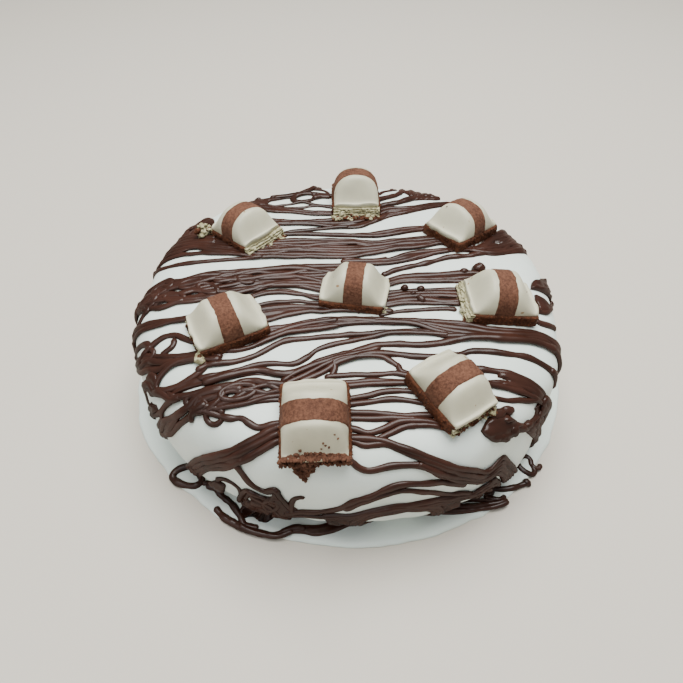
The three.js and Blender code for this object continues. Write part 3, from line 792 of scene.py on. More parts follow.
def bar_cocoa(bar):
    """The tray, the band over the crown and the loose cocoa of one bar."""
    bar.piece("_base", *join([bar_tray(bar)] + grains(bar)), BASE, "cocoa", "_cocoa")
    bar.piece("_band", *join([bar_band(bar)] + specks(bar)), BAND, "cocoa", "_cocoa")
    if bar.name == PILED_BAR:
        new_piece(bar.name + "_loose_cocoa", *front_crumbs(bar), BAND, "cocoa", bar.name + "_cocoa")


def wafer_sheet(bar, end, layer):
    """One thin sheet of wafer with a torn edge, from inside the bar out to its broken end."""
    sign = 1 if end else -1
    up = layer / (WAFER_LAYERS - 1)
    thick = WAFER_RISE / (WAFER_LAYERS - 1) / 2 * SHEET_SHARES[layer % 2]
    tt, dd = np.meshgrid(np.linspace(-1, 1, SHEET_COLUMNS), np.linspace(0, 1, SHEET_ROWS), indexing="ij")
    y = tt * (bar.width / 2 - WAFER_INSET)
    key = points_at(y, 9.0 * layer)
    torn = TORN_REACH * rough_noise(key, TORN_SIZE, 3, bar.salt + 8 + end)
    notched = np.maximum(lattice_noise(key, NOTCH_SIZE, bar.salt + 9 + layer) - NOTCH_FROM, 0)
    slant = LOW_SHEET_OUT * (1 - up) - TOP_SHEET_BACK * (layer == WAFER_LAYERS - 1)
    back = NOTCH_DEPTH * notched + OTHER_SHEET_BACK * (layer % 2) + COVERED_BACK * (1 - bar.openness)
    reach = bar.length / 2 + torn + slant - back
    x = sign * (np.minimum(reach, bar.length / 2 + SHEET_MOST) - WAFER_DEPTH * (1 - dd))
    skin = points_at(y, dd * WAFER_DEPTH, 3.0 * layer)
    middle = WAFER_LOW + WAFER_RISE * up + SHEET_ROUGH * rough_noise(skin, SHEET_GRAIN, 3, bar.salt)
    blunt = thick * np.sqrt(1 - 0.5 * dd ** 5)
    return slab(points_at(x, y, middle + blunt), points_at(x, y, middle - blunt), inside_out=sign > 0)


# Clusters of torn wafer: place in the bar's own frame, reach and number of crumbs
LUMP_SIZES = (0.8, 1.9)
TORN_LUMPS = {
    "bar_1": [(-16.6, -12.4, 3.4, 3.4, 60)],
    "bar_2": [(-14.8, 1.0, 1.6, 2.0, 7), (-15.4, -6, 1.5, 1.8, 5), (-15.4, 7.5, 1.5, 1.8, 5)],
    "bar_4": [(-14.2, -10.2, 1.8, 1.7, 26)],
    "bar_8": [(-14.0, -8.5, 1.5, 1.4, 8)],
}


def bar_wafer(bar):
    """Thin sheets of wafer, torn at the broken ends, with crumbs on and under them."""
    sheets, pale, dark = [], [], []
    side = bar.width / 2 - WAFER_INSET
    spill = bar.spill
    edge = bar.length / 2
    # Heap, number, near and far corner of its box beyond the end, crumb sizes and salt
    heaps = (
        (pale, int(36 * bar.openness), (-1.8, -side, 0.9), (0.1, side, 4.2), (0.4, 0.9), 0),
        (pale, int(5 * spill), (-0.9, -side, 0.6), (spill, side, 1.6), (0.6, 1.7), 30),
        (dark, 24 + int(56 * spill), (-2.2, -side - 0.4, 0.2), (spill - 0.3, side + 0.4, 1.5),
         (0.3, 0.95), 50),
    )
    for end, sign in ((0, -1), (1, 1)):
        if not bar.broken[end]:
            continue
        sheets += [wafer_sheet(bar, end, layer) for layer in range(WAFER_LAYERS)]
        for crumbs, number, near, far, sizes, salt in heaps:
            for i in range(number):
                where = (rng.uniform(near, far) + [edge, 0, 0]) * [sign, 1, 1]
                crumbs.append(crumb(where, rng.uniform(*sizes), bar.salt + salt + i))
    for x, y, z, reach, count in TORN_LUMPS.get(bar.name, ()):
        for i in range(count):
            where = np.array([x, y, z]) + reach * rng.normal(0, 0.42, 3)
            where[2] = max(where[2], 0.6)
            lump = crumb(where, rng.uniform(*LUMP_SIZES), bar.salt + 90 + i)
            (dark if i % 6 == 0 else pale).append(lump)
    if sheets:
        bar.piece("_torn_wafer", *join(sheets + pale), WAFER, "wafer", "_wafer")
        bar.piece("_cocoa_crumbs", *join(dark), BASE, "cocoa", "_cocoa")


ALL_BARS = [Bar(*row) for row in BARS]
for bar in ALL_BARS:
    bar_coat(bar)
    bar_cocoa(bar)
    bar_wafer(bar)

# Drizzle

STEP = 1.0
# Angles round a strand: close over its top, few below
SECTION_ANGLES = np.append(np.linspace(0, 1, 5), (1.25, 1.75)) * math.pi
# A strand's width over its traced width, and how deep it lies in the cream
STRAND_SCALE = 1.2
STRAND_SINK = 0.45
# Map of how high the chocolate lies, so that later strands lie on earlier ones
HEAP_REACH = 170.0
HEAP_CELL = 0.5
HEAP_SIZE = int(2 * HEAP_REACH / HEAP_CELL)
HEAP_MOST = 3.4
HEAP_SHARE = 0.55
HEAP_BRUSH = range(-3, 4)
heap = np.zeros((HEAP_SIZE, HEAP_SIZE))
# Chocolate and the underside of a ribbon stay this far above the floor
LOWEST = 0.3
UNDERSIDE = 0.2
# A layer of chocolate goes this deep into the cream in a white gap and under a bar
BURIED = 0.5


def smooth_route(points, step=STEP):
    """Evenly spaced places on a Catmull-Rom curve through the given ones."""
    p = np.array(points, float)
    p = np.concatenate([[2 * p[0] - p[1]], p, [2 * p[-1] - p[-2]]])
    t = np.linspace(0, 1, 14, endpoint=False)[:, None]
    fine = [0.5 * (2 * b + (c - a) * t + (2 * a - 5 * b + 4 * c - d) * t ** 2
                   + (3 * b - a - 3 * c + d) * t ** 3)
            for a, b, c, d in zip(p, p[1:], p[2:], p[3:])]
    fine = np.concatenate(fine + [p[-2:-1]])
    run = run_along(fine)
    at = np.linspace(0, run[-1], max(int(run[-1] / step), 3) + 1)
    return np.stack([np.interp(at, run, fine[:, axis]) for axis in (0, 1)], -1)


def strayed(route, reach, size, salt):
    """A route moved about by noise."""
    place = points_at(*route.T)
    return route + reach * np.stack([lattice_noise(place, size, salt + i) for i in (0, 1)], -1)


def soften(values, reach):
    """Moving mean over a number of samples each way."""
    kernel = np.ones(2 * reach + 1) / (2 * reach + 1)
    return np.convolve(np.pad(values, reach, mode="edge"), kernel, mode="valid")


# White gaps that the strands leave: middle, half length, half width and turn in degrees
GAPS = [(-36.5, 62.3, 5.5, 2.6, 4), (-23.5, 68.3, 4.6, 2.2, 20), (-15, 62.8, 4, 1.8, 10),
        (-16.5, 76.3, 4.5, 1.7, -20), (-29, 58.2, 8, 0.9, 2), (-16, 54.8, 5.5, 1.5, -2),
        (-24, 37.8, 9, 1.1, 2), (-9, 35, 9, 1.0, 4), (22.5, 74, 6, 1.9, 38), (30.2, 69.3, 4.6, 1.7, 50),
        (21, 63.4, 4.4, 1.3, 33), (40, 63.8, 11.5, 1.4, 27), (52.5, 85.5, 5, 1.0, -55),
        (10, 27.9, 7, 0.5, 0), (-22, 23.5, 4, 0.4, 2), (2, 23.4, 4, 0.4, 0), (-20, 17.4, 12, 0.4, 0),
        (-71, 15.2, 16, 1.5, -2), (-74.5, 21, 4.8, 1.5, -8), (7.5, 14.2, 2.2, 0.8, 45),
        (21, 15.1, 6, 0.8, 27), (36, 20.8, 6.5, 0.8, 17), (44, 15.6, 8, 0.7, 25), (56, 17.7, 4, 0.6, 15),
        (72.5, 28.5, 2.5, 0.8, 10), (-89, -9.6, 3.4, 1.1, -30), (-74.5, -8, 3.3, 1.6, 0),
        (-80.5, -15.4, 4.6, 1.0, 6), (-67.5, -11.5, 2.0, 0.8, 0), (-42, 0.8, 4, 0.6, 10),
        (-28, -8.2, 9, 0.5, 0), (-43.5, -12, 2.6, 0.8, 10), (-29, -14.6, 11, 1.3, 4),
        (-11.5, -22, 2.6, 0.5, 0), (-8, -25.6, 10.5, 1.2, 9), (41, -15.1, 6, 0.8, -3),
        (-82, -21, 10, 2.6, -6), (-81, -31.5, 11, 2.0, -4), (-75, -39.2, 3, 1.5, 0),
        (-68.5, -41.5, 4, 2.2, -45), (-88.5, -37.2, 4.5, 1.5, -15), (-86, -50.2, 4, 1.5, 0),
        (-66.5, -54.3, 9, 3, 20), (-26, -30.5, 8, 0.8, 12), (-39, -62.5, 2, 0.9, 0),
        (-31, -64, 2.2, 0.9, 0), (-44, -66, 2, 0.9, 0), (-78.5, -62, 6, 1.8, -10), (-69, -67.5, 10, 2, 8),
        (7, -55, 11, 1.6, 0), (19, -51, 3, 0.9, 0), (56, -57.8, 4, 0.7, -5), (-49, -112, 2, 1.1, 45),
        (-62.5, -122.8, 3.5, 1.3, 10), (-43, -123.5, 5.5, 0.8, 50), (-68, -128.5, 2, 1.1, 0),
        (-52, -137, 2, 0.8, 0), (-62, -140.8, 7.5, 1.1, -15), (-35, -143.8, 19.5, 1.5, 0),
        (-81, -124, 7, 1.7, -42), (-80.5, -131.5, 9.5, 1.3, -38), (61.5, -116, 5, 2.1, -20),
        (79, -118, 14, 2.8, 42), (81, -129.8, 9.5, 0.7, 14), (77, -105.5, 5, 1.2, -12),
        (73, -109.5, 5, 1.4, -10), (26, -127, 18.5, 9, 0), (-21, -127.8, 9, 4, 0), (67, -69.3, 9.5, 3.4, 5),
        (44, -104.8, 20, 1.6, -8)]
# Strands keep this far from a gap's sides and ends
GAP_SIDE = 1.1
GAP_END = 1


def open_gaps(route):
    """Pushes a route out of the white gaps, across each gap's own line."""
    for x, y, half_length, half_width, turn in GAPS:
        u, v = turned(route[:, 0] - x, route[:, 1] - y, -turn)
        reach = half_length + GAP_END
        near = np.abs(u) < reach
        want = (half_width + GAP_SIDE) * np.sqrt(np.maximum(1 - (u / reach) ** 2, 0))
        inside = near & (np.abs(v) < want)
        if inside.any():
            side = np.sign(np.sum(v[near])) or 1
            push = soften(np.where(inside, side * want - v, 0), 2)
            route = route + np.stack(turned(0, push, turn), -1)
    return route


def dipped(x, y, lift):
    """Heights of a layer of chocolate, taken below the cream in the white gaps."""
    for gap_x, gap_y, half_length, half_width, turn in GAPS:
        u, v = turned(x - gap_x, y - gap_y, -turn)
        share = smoothstep(1.3 - (u / half_length) ** 2 - (v / half_width) ** 2, 0, 0.5)
        lift = lift - (lift + BURIED) * share
    return lift


def heap_cells(values, margin=0):
    return np.clip(((values + HEAP_REACH) / HEAP_CELL).astype(int), margin, HEAP_SIZE - 1 - margin)


def mark_heap(x, y, lift):
    np.maximum.at(heap, (heap_cells(x), heap_cells(y)), lift)


def between(rear_edge, front_edge, step, least, more):
    """Places along x where two edges both run, and the edges' y there."""
    low = max(rear_edge[0][0], front_edge[0][0])
    high = min(rear_edge[-1][0], front_edge[-1][0])
    x = np.linspace(low, high, max(int((high - low) / step), least) + more)
    return x, np.interp(x, *np.array(rear_edge, float).T), np.interp(x, *np.array(front_edge, float).T)


# Where strands leave the top at the left and right, with their direction there
strand_ends = []
# An end counts when it lies past this x, within this distance and behind this y
SHOULDER_X = 78
SHOULDER_REACH = 116
SHOULDER_FRONT = -72

# Noise in a strand's width and height, and in a lump's height and outline: share, size and salt
WIDTH_LAYERS = ((0.16, 5, 2), (0.08, 2.2, 3))
TALL_LAYERS = ((0.12, 4, 4),)
MOUND_LAYERS = ((0.16, 3, 2),)
RIBBON_LAYERS = ((0.15, 4, 0),)
BLOB_LAYERS = ((0.16, 1.3 / 2.2, 0), (0.07, 1.1 / 5, 1))
LEAST_STRAND = 3.0
# A strand's ends are rounded from this share of its half width, and no thinner than this
TIP_START = 0.15
TIP_LEAST = 0.02
# Spacing of a mound's rings, and how deep its underside and its rim lie in the cream
MOUND_STEP = 0.7
MOUND_SINK = 0.6
RIM_SINK = 0.35
# Ridges on a patch and a ribbon: how far they are drawn out, their size across, and a ribbon's slant
MOUND_STRETCH, MOUND_RIDGE = 7, 1.3
RIBBON_STRETCH, RIBBON_RIDGE = 9, 1.25
RIBBON_SLANT = 0.04
# Spacing of a ribbon's rows, depth of its underside, reach of its falling ends and least width
RIBBON_STEP = 0.55
RIBBON_SINK = 0.75
RIBBON_TIP = 2.5
RIBBON_LEAST = 0.6
# A ribbon rounds off by this power, and its edges lie this deep in the cream
RIBBON_POWER = 8
RIBBON_EDGE_SINK = 0.3
# A higher power keeps a mound flat nearer to its rim
PATCH_POWER = 8
BLOB_POWER = 2.6
# Points round a blob and an oval strand
BLOB_SIDES = 34
RING_POINTS = 26


class Beads:
    """Strands and lumps of chocolate gathered into one piece."""

    def __init__(self, name):
        self.name = name
        self.parts = []

    def strand(self, points, width=2.3, wander=0.25, rise=0.38, gaps=True, turning=True):
        """A strand along a route, left out where a bar covers it."""
        route = smooth_route(points)
        salt = int(rng.integers(1000))
        route = strayed(route, wander, 9, salt)
        if gaps:
            route = open_gaps(route)
        hidden = np.any([bar.covers(*route.T, 3.0) for bar in ALL_BARS], axis=0)
        for end, inner in ((0, 6), (-1, -7)):
            x, y = route[end]
            if turning and abs(x) > SHOULDER_X and math.hypot(x, y) < SHOULDER_REACH and y > SHOULDER_FRONT:
                strand_ends.append((route[end], unit(route[end] - route[inner])))
        start = 0
        for i in range(len(route) + 1):
            if i == len(route) or hidden[i]:
                if i - start >= LEAST_STRAND / STEP:
                    self.bead(route[start:i], width, rise, salt)
                start = i + 1

    def bead(self, route, width, rise, salt):
        """One stretch of a strand, lying on the cream or on earlier strands."""
        x, y = route.T
        place = points_at(x, y)
        wide = STRAND_SCALE * width * (1 + layered(place, WIDTH_LAYERS, salt))
        run = np.arange(len(route)) * STEP
        end = np.minimum(run, run[::-1]) / (width / 2)
        wide = wide * np.sqrt(np.clip(1 - (1 - np.minimum(end + TIP_START, 1)) ** 2, TIP_LEAST, 1))
        tall = rise * wide * (1 + layered(place, TALL_LAYERS, salt))
        cx, cy = heap_cells(x, 4), heap_cells(y, 4)
        under = np.max([heap[cx + i, cy + j] for i in (-1, 0, 1) for j in (-1, 0, 1)], axis=0)
        base = np.minimum(soften(under, 3) * HEAP_SHARE, HEAP_MOST)
        for i in HEAP_BRUSH:
            for j in HEAP_BRUSH:
                r = math.hypot(i, j) * HEAP_CELL
                part = np.sqrt(np.clip(1 - (2 * r / np.maximum(wide, 0.2)) ** 2, 0, 1))
                np.maximum.at(heap, (cx + i, cy + j), (base + tall) * part)
        surface, normal = cream_at(x, y)
        centre = surface + normal * base[:, None]
        side = unit(np.cross(normal, unit(np.gradient(centre, axis=0))))
        across, up = np.cos(SECTION_ANGLES) / 2, np.sin(SECTION_ANGLES)
        lift = np.maximum(up, 0) * tall[:, None] + np.minimum(up, 0) * STRAND_SINK
        rings = centre[:, None] + side[:, None] * (across * wide[:, None])[..., None]
        rings = rings + normal[:, None] * lift[..., None]
        rings[..., 2] = np.maximum(rings[..., 2], LOWEST)
        self.parts.append(capped(rings, centre[0], centre[-1], upward=True))

    def ring(self, x, y, a, b, turn, width):
        """A strand in an oval."""
        angle = np.linspace(0, 2 * math.pi, RING_POINTS)
        px, py = turned(a * np.cos(angle), b * np.sin(angle), turn)
        self.strand(np.stack([x + px, y + py], -1), width, 0.3, gaps=False)

    def mound(self, x, y, edge_x, edge_y, height, power, salt, ridge=0.0, turn=0.0):
        """A lump with a closed outline, built of rings from its middle out."""
        number = max(int(np.max(np.hypot(edge_x - x, edge_y - y)) / MOUND_STEP), 8)
        rings = []
        for share in np.arange(1, number + 1) / number:
            px, py = x + (edge_x - x) * share, y + (edge_y - y) * share
            round_off = math.sqrt(max(1 - share ** power, 0))
            lift = height * round_off * (1 + layered(points_at(px, py), MOUND_LAYERS, salt))
            if ridge:
                along, across = turned(px, py, -turn)
                ridges = lattice_noise(points_at(along / MOUND_STRETCH, across), MOUND_RIDGE, salt + 3)
                lift = dipped(px, py, lift + ridge * round_off * ridges)
            mark_heap(px, py, lift)
            surface, normal = cream_at(px, py)
            rings.append(surface + normal * (lift - RIM_SINK * (share == 1))[:, None])
        surface, normal = cream_at(x, y)
        points, faces = capped(rings, surface + normal * height, drape(x, y) - normal * MOUND_SINK)
        points[:, 2] = np.maximum(points[:, 2], LOWEST)
        self.parts.append((points, faces))

    def blob(self, x, y, radius_x, radius_y, turn, height, salt):
        """A smooth oval lump or puddle lying on the cream."""
        angle = np.arange(BLOB_SIDES) / BLOB_SIDES * 2 * math.pi
        circle = points_at(np.cos(angle), np.sin(angle))
        uneven = 1 + layered(circle, BLOB_LAYERS, salt)
        px, py = turned(radius_x * uneven * circle[:, 0], radius_y * uneven * circle[:, 1], turn)
        self.mound(x, y, x + px, y + py, height, BLOB_POWER, salt)

    def patch(self, x, y, outline, height=1.3, ridge=0.4, turn=0.0):
        """A layer of run-together chocolate inside a given outline round its middle."""
        salt = int(rng.integers(1000))
        edge = strayed(smooth_route(outline + outline[:1], 0.9)[:-1], 0.5, 3, salt)
        spokes = edge - [x, y]
        if np.cross(spokes, np.roll(spokes, -1, axis=0)).sum() < 0:
            edge = edge[::-1]
        self.mound(x, y, edge[:, 0], edge[:, 1], height, PATCH_POWER, salt, ridge, turn)

    def ribbon(self, rear_edge, front_edge, height=0.75, ridge=0.35, inset=0.0):
        """A layer of merged strands between a rear and a front edge."""
        x, rear, front = between(rear_edge, front_edge, 1, 0, 4)
        front = soften(front, 3) + inset
        rear = np.maximum(soften(rear, 3) - inset, front + RIBBON_LEAST)
        share = np.linspace(0, 1, int(np.max(rear - front) / RIBBON_STEP) + 4)
        xx = x[:, None] + 0 * share
        yy = rear[:, None] + (front - rear)[:, None] * share
        salt = int(rng.integers(1000))
        tip = np.minimum(x - x[0], x[-1] - x)[:, None] / RIBBON_TIP
        round_off = np.sqrt(np.clip(1 - (2 * share - 1) ** RIBBON_POWER, 0, 1))
        round_off = round_off * np.sqrt(np.clip(tip, 0, 1))
        key = points_at(xx / RIBBON_STRETCH, (rear - front)[:, None] * share + RIBBON_SLANT * xx)
        relief = height * (1 + layered(key, RIBBON_LAYERS, salt))
        relief = relief + ridge * lattice_noise(key, RIBBON_RIDGE, salt + 1)
        lift = dipped(xx, yy, round_off * relief - RIBBON_EDGE_SINK * (round_off < 0.05))
        for bar in ALL_BARS:
            lift = np.where(bar.covers(xx, yy, 2.5), -BURIED, lift)
        mark_heap(xx.ravel(), yy.ravel(), lift.ravel())
        surface, normal = cream_at(xx, yy)
        upper = surface + normal * lift[..., None]
        lower = surface - normal * RIBBON_SINK
        upper[..., 2] = np.maximum(upper[..., 2], LOWEST)
        lower[..., 2] = np.maximum(lower[..., 2], UNDERSIDE)
        self.parts.append(slab(upper, lower))

    def band(self, rear_edge, front_edge, spacing=1.75, width=2.5, wander=0.4, jitter=0.25, rise=0.27,
             weave=0.3):
        """Strands side by side between a band's rear and front edges."""
        x, rear, front = between(rear_edge, front_edge, 7, 3, 0)
        count = max(int(round((np.median(rear - front) - width) / spacing)) + 1, 2)
        self.ribbon(list(zip(x, rear)), list(zip(x, front)), 0.85, inset=0.4)
        for i in rng.permutation(count):
            share = (i + jitter * rng.uniform(-1, 1)) / (count - 1)
            drift = weave * np.sin(x / rng.uniform(8, 30) + rng.uniform(0, 6.3)) / count
            room = np.maximum(rear - front - width, 0)
            y = rear - width / 2 - room * np.clip(share + drift, 0, 1)
            self.strand(np.stack([x, y], -1), width * rng.uniform(0.88, 1.12), wander, rise)

    def finish(self):
        new_piece(self.name, *join(self.parts), CHOCOLATE, "chocolate", "cake")


def drizzle_rear(b):
    for i in range(3):
        b.strand([(-24 + 3 * i, 78), (-22.5 + 2.6 * i, 84), (-21.5 + 2.4 * i, 92), (-21 + 2.4 * i, 106)],
                 3.0)
    b.patch(-47, 64.5, [(-58, 61), (-54, 68), (-44, 70), (-36, 71), (-31, 70.5), (-30, 67.5), (-36, 66.3),
                        (-41, 65), (-43.3, 61), (-45, 56), (-52, 56)], 1.2, 0.4)
    b.strand([(-42, 68.6), (-34, 69.8), (-29, 72.3), (-25, 75.5), (-21, 79.5), (-19.5, 85), (-19, 95)], 3.2)
    b.strand([(-40, 67.4), (-31, 69.2), (-27.5, 72.4), (-21, 73.8), (-15, 72.2), (-11, 70.5), (-6, 69)],
             2.4)
    b.strand([(-18, 80), (-14, 77.5), (-11.5, 73.5), (-10, 70)], 1.7)
    b.ring(-23.5, 67.6, 6.4, 4.2, 22, 2.8)
    b.strand([(-19, 65.8), (-15, 68.3), (-9, 68.3)], 3.4)
    b.strand([(-48, 61), (-38, 59.9), (-30, 60.2), (-24, 61.9), (-18, 59.9), (-12, 58.9), (-7, 58.6)], 1.8)
    b.strand([(-40, 57.4), (-31, 56.8), (-24, 56.7), (-20, 58), (-15, 58.2), (-7, 56.4)], 1.8)
    b.band([(-50, 60.5), (-42, 58.6), (-36, 57), (-28, 56), (-22, 53.6), (-16, 52.7), (-7, 52.7)],
           [(-50, 55), (-42, 53), (-36, 52), (-28, 50.5), (-20, 48.6), (-14, 48.6), (-7, 49)])
    b.band([(-42, 46.5), (-37, 45.2), (-28, 44.5), (-20, 45), (-11, 46.5), (-4, 48), (4, 50), (12, 54),
            (17, 59), (24, 59.3), (30, 58.2), (36, 60.3), (42, 63.3), (50, 66.5), (60, 68)],
           [(-42, 40), (-33, 39), (-26, 39.5), (-18, 39), (-10, 38), (-4, 37), (2, 36.5), (8, 37.8),
            (12, 40.5), (16, 44.5), (20, 47), (26, 48.5), (32, 51.5), (38, 54.5), (45, 58), (50, 61),
            (60, 63)])
    b.strand([(-36, 31.5), (-31, 33), (-25, 34.8), (-17, 36.2), (-9, 37.8), (0, 38.2)], 2.3)
    b.ribbon([(-38, 32.3), (-32, 33.2), (-26, 34.2), (-18, 34), (-8, 33.5), (0, 32.7), (8, 33.2), (14, 35),
              (20, 37), (28, 39.2), (36, 40.3), (46, 41)],
             [(-38, 30.3), (-32, 30.8), (-18, 30.8), (-8, 30.2), (0, 30), (8, 29.8), (14, 29.6), (20, 30.7),
              (25, 32), (30, 33.7), (36, 35.2), (46, 37)], 1.0)
    b.strand([(-36, 31.4), (-26, 32.3), (-16, 32.3), (-6, 31.8), (2, 31.4), (10, 32), (20, 34.8),
              (30, 37.6), (42, 39.6)], 2.2, 0.3, 0.27)
    b.strand([(0, 31.2), (10, 30.9), (18, 31.8), (25, 33.8), (33, 36.3), (42, 38)], 2.0, 0.3, 0.27)
    b.strand([(16, 72), (19.5, 77), (24, 80.5), (27, 86), (28, 96)], 1.9)
    b.strand([(14, 64.5), (18, 66.8), (23, 69.8), (27, 73.8), (29.5, 79), (31, 86), (31.5, 98)], 3.4)
    b.strand([(14, 57.5), (20, 60.3), (25, 62.3), (29, 64.8), (34, 68.4), (40, 72)], 3.6)
    b.patch(41, 83, [(31.5, 68), (36, 66.8), (42, 68.8), (48, 69.9), (51, 74), (51.5, 82), (50, 90),
                     (46, 100), (33, 101), (30, 92), (29.5, 82), (32, 76), (34.3, 72.5)], 1.3, 0.7, 80)
    for i in range(4):
        b.strand([(34 + 4 * i, 70 + 0.8 * i), (35 + 4 * i, 78), (35 + 4 * i, 88), (34 + 4 * i, 102)],
                 3.2, 0.5, 0.3)


def drizzle_middle(b):
    b.band([(-102, 50), (-92, 46), (-84, 42), (-76, 38), (-66, 34), (-58, 30), (-50, 26.5), (-40, 26.5),
            (-34, 26.8), (-28, 28.2), (-15, 28.6), (0, 28.6), (8, 27), (16, 27), (22, 28.3), (30, 29.6),
            (38, 31), (48, 31), (60, 28)],
           [(-102, 21), (-94, 18), (-88, 17.8), (-80, 17.8), (-70, 17), (-60, 15.8), (-50, 14.5),
            (-44, 12.8), (-20, 12.8), (0, 13), (5, 13.2), (10, 16), (16, 17), (24, 19), (33, 20), (38, 22),
            (43, 24), (50, 24), (60, 20)])
    b.band([(-102, 46), (-85, 41), (-72, 36), (-64, 33)],
           [(-102, 28), (-85, 27), (-72, 26), (-64, 25)], weave=1.5)
    b.patch(-92, 55, [(-104, 32), (-92, 34), (-82, 35), (-72, 38), (-68, 44), (-70, 52), (-76, 60),
                      (-82, 70), (-92, 82), (-104, 74), (-110, 58), (-110, 42)], 1.4, 0.8, 60)
    for i in range(5):
        b.strand([(-74 - 3 * i, 42 + i), (-84 - 3 * i, 52 + 2 * i), (-90 - 3 * i, 64 + 2 * i),
                  (-92 - 4 * i, 80)], 2.8, 0.8)
    b.strand([(-99, 19), (-93, 15), (-86, 12.5), (-78, 11.6), (-68, 11.6), (-58, 12.1), (-50, 12.6),
              (-40, 13.6)], 2.3)
    b.ribbon([(-4, 12.5), (14, 13.2), (20, 15.5), (27, 18.3), (33, 19.2), (40, 20.2), (45, 21), (54, 20.5)],
             [(-4, 8), (14, 8), (20, 8.7), (26, 10.2), (33, 12.6), (38, 14.8), (42, 17), (46, 18.2),
              (54, 18.8)], 1.1)
    b.strand([(-4, 10.8), (8, 10.8), (16, 11.5), (22, 14.2), (30, 17.3), (38, 18.9), (48, 20)],
             2.2, 0.3, 0.28)
    b.strand([(-4, 9), (9, 9), (18, 9.8), (26, 12), (33, 14.7), (40, 17.3), (48, 19.4)], 2.2, 0.3, 0.28)
    b.strand([(14.5, 1.2), (17, 2.4), (21, 4.8), (28, 7.2), (36, 10), (40, 11.7), (45, 14.2), (50, 15.1),
              (56, 16), (60, 17.6), (66, 19.5)], 2.7)
    b.ribbon([(52, 20), (60, 22.5), (66, 29), (70, 35), (75, 41), (80, 48), (86, 56), (94, 66)],
             [(52, 18.6), (60, 18.4), (64, 17), (68, 16.7), (72, 17.8), (76, 20), (80, 22), (84, 24.3),
              (88, 27), (94, 33)], 1.3, 0.4)
    b.strand([(56, 19.3), (64, 19), (70, 19.6), (77, 23), (84, 28), (92, 36)], 2.3, 0.3, 0.28)
    b.strand([(58, 20.5), (66, 22.5), (74, 25.5), (82, 31), (90, 39)], 2.6, 0.3, 0.28)
    b.strand([(64, 25.5), (72, 31.5), (79, 37.5), (88, 48), (94, 56)], 2.4, 0.3, 0.28)
    b.strand([(70, 33), (77, 40), (83, 48), (90, 58), (96, 66)], 2.4, 0.3, 0.28)
    b.band([(12, -5), (17, -3.4), (22, 0.8), (30, 2.9), (40, 3.9), (50, 5), (60, 5.2)],
           [(12, -9.5), (17, -8), (20, -5.3), (25, -4.9), (40, -4.9), (60, -5)], 2.6)
    b.band([(12, -11.7), (17, -10.5), (21, -9.5), (26, -9), (30, -8.2), (36, -7.5), (47, -7.5), (56, -7.6)],
           [(12, -21.8), (17, -20.8), (20, -19.4), (26, -19), (34, -18.6), (56, -19.2)], 2.3)
    b.strand([(12, -25.5), (17, -23.8), (22, -22.6), (30, -21.7), (37, -21), (42, -21.1), (45, -21.9)], 2.1)
    b.blob(24, -9.3, 2.0, 1.9, 0, 3.2, 301)
    b.blob(31, -9.6, 2.0, 1.9, 0, 3.0, 304)
    b.blob(30.5, -16, 2.6, 1.9, -30, 2.8, 307)
    b.blob(27.5, -12.5, 1.8, 1.3, 40, 2.2, 309)
    b.blob(59, 5.4, 3.2, 3.0, 0, 3.2, 310)
    b.blob(52, 3, 2.2, 1.7, 0, 2.4, 313)
    b.patch(92, 4, [(81, -4.8), (83, 1), (88, 5), (92, 9), (97, 13), (104, 13), (104, 3), (96, -0.8),
                    (90, -3.2)], 1.9, 0.5, 35)
    b.patch(87.5, -12, [(82, -7.5), (88, -8.5), (92.3, -12.5), (89.5, -14.5), (86.5, -17.5), (82, -17)],
            1.5, 0.2)
    b.strand([(80, -18.5), (86, -17.5), (90, -13.5), (95, -8), (101, 0)], 2.2)
    b.band([(-99, -4), (-90, -3.5), (-86, -2), (-84, 0), (-80, 0), (-76, -0.5), (-72, 1), (-66, 2.5),
            (-60, 3.5), (-50, 4.5), (-40, 5.5), (-30, 7.3), (-20, 8.3), (4, 8.4)],
           [(-99, -13), (-93, -15.5), (-90, -18), (-86, -18), (-80, -17.3), (-66, -17), (-60, -15.5),
            (-54, -14), (-48, -13.5), (-44, -11.5), (-38, -9.2), (-30, -8.2), (-20, -9), (-16, -11),
            (4, -12)], rise=0.33, weave=1.6)
    for x, y, a, c, turn in ((-84, -5, 5, 3, 30), (-76, -13, 5, 2.4, -20), (-70, -5, 5, 2.6, 15),
                             (-62, -9, 5, 2.6, -25), (-55, -2, 5, 2.2, 20), (-46, -3, 4, 2.4, -15),
                             (-88, -13, 4, 2.4, 40)):
        b.ring(x, y, a, c, turn, 2.1)
    b.strand([(-99, -12), (-91, -13), (-88, -17), (-92, -22), (-99, -25)], 2.4)
    b.band([(-46, -13), (-40, -11), (-34, -9.2), (-26, -9.2), (-20, -10.2), (-16, -12.3), (-8, -13)],
           [(-46, -16.8), (-38, -13.2), (-32, -12.5), (-26, -12.5), (-20, -14), (-16, -15.8), (-8, -17)],
           1.6, 2.0)
    b.strand([(-44, -20.5), (-38, -18.7), (-34, -17.5), (-28, -16.6), (-22, -16.4), (-16, -17.4),
              (-8, -18.5)], 2.0)
    b.band([(-44, -22.5), (-39, -21.2), (-34, -20), (-28, -19.2), (-22, -18.4), (-16, -18.8), (-10, -20.3),
            (-4, -21), (4, -21.5), (18, -22)],
           [(-44, -31), (-34, -29.7), (-28, -27.8), (-24, -25.7), (-18, -24.7), (-12, -24.1), (-4, -23.7),
            (18, -24)], 1.7)


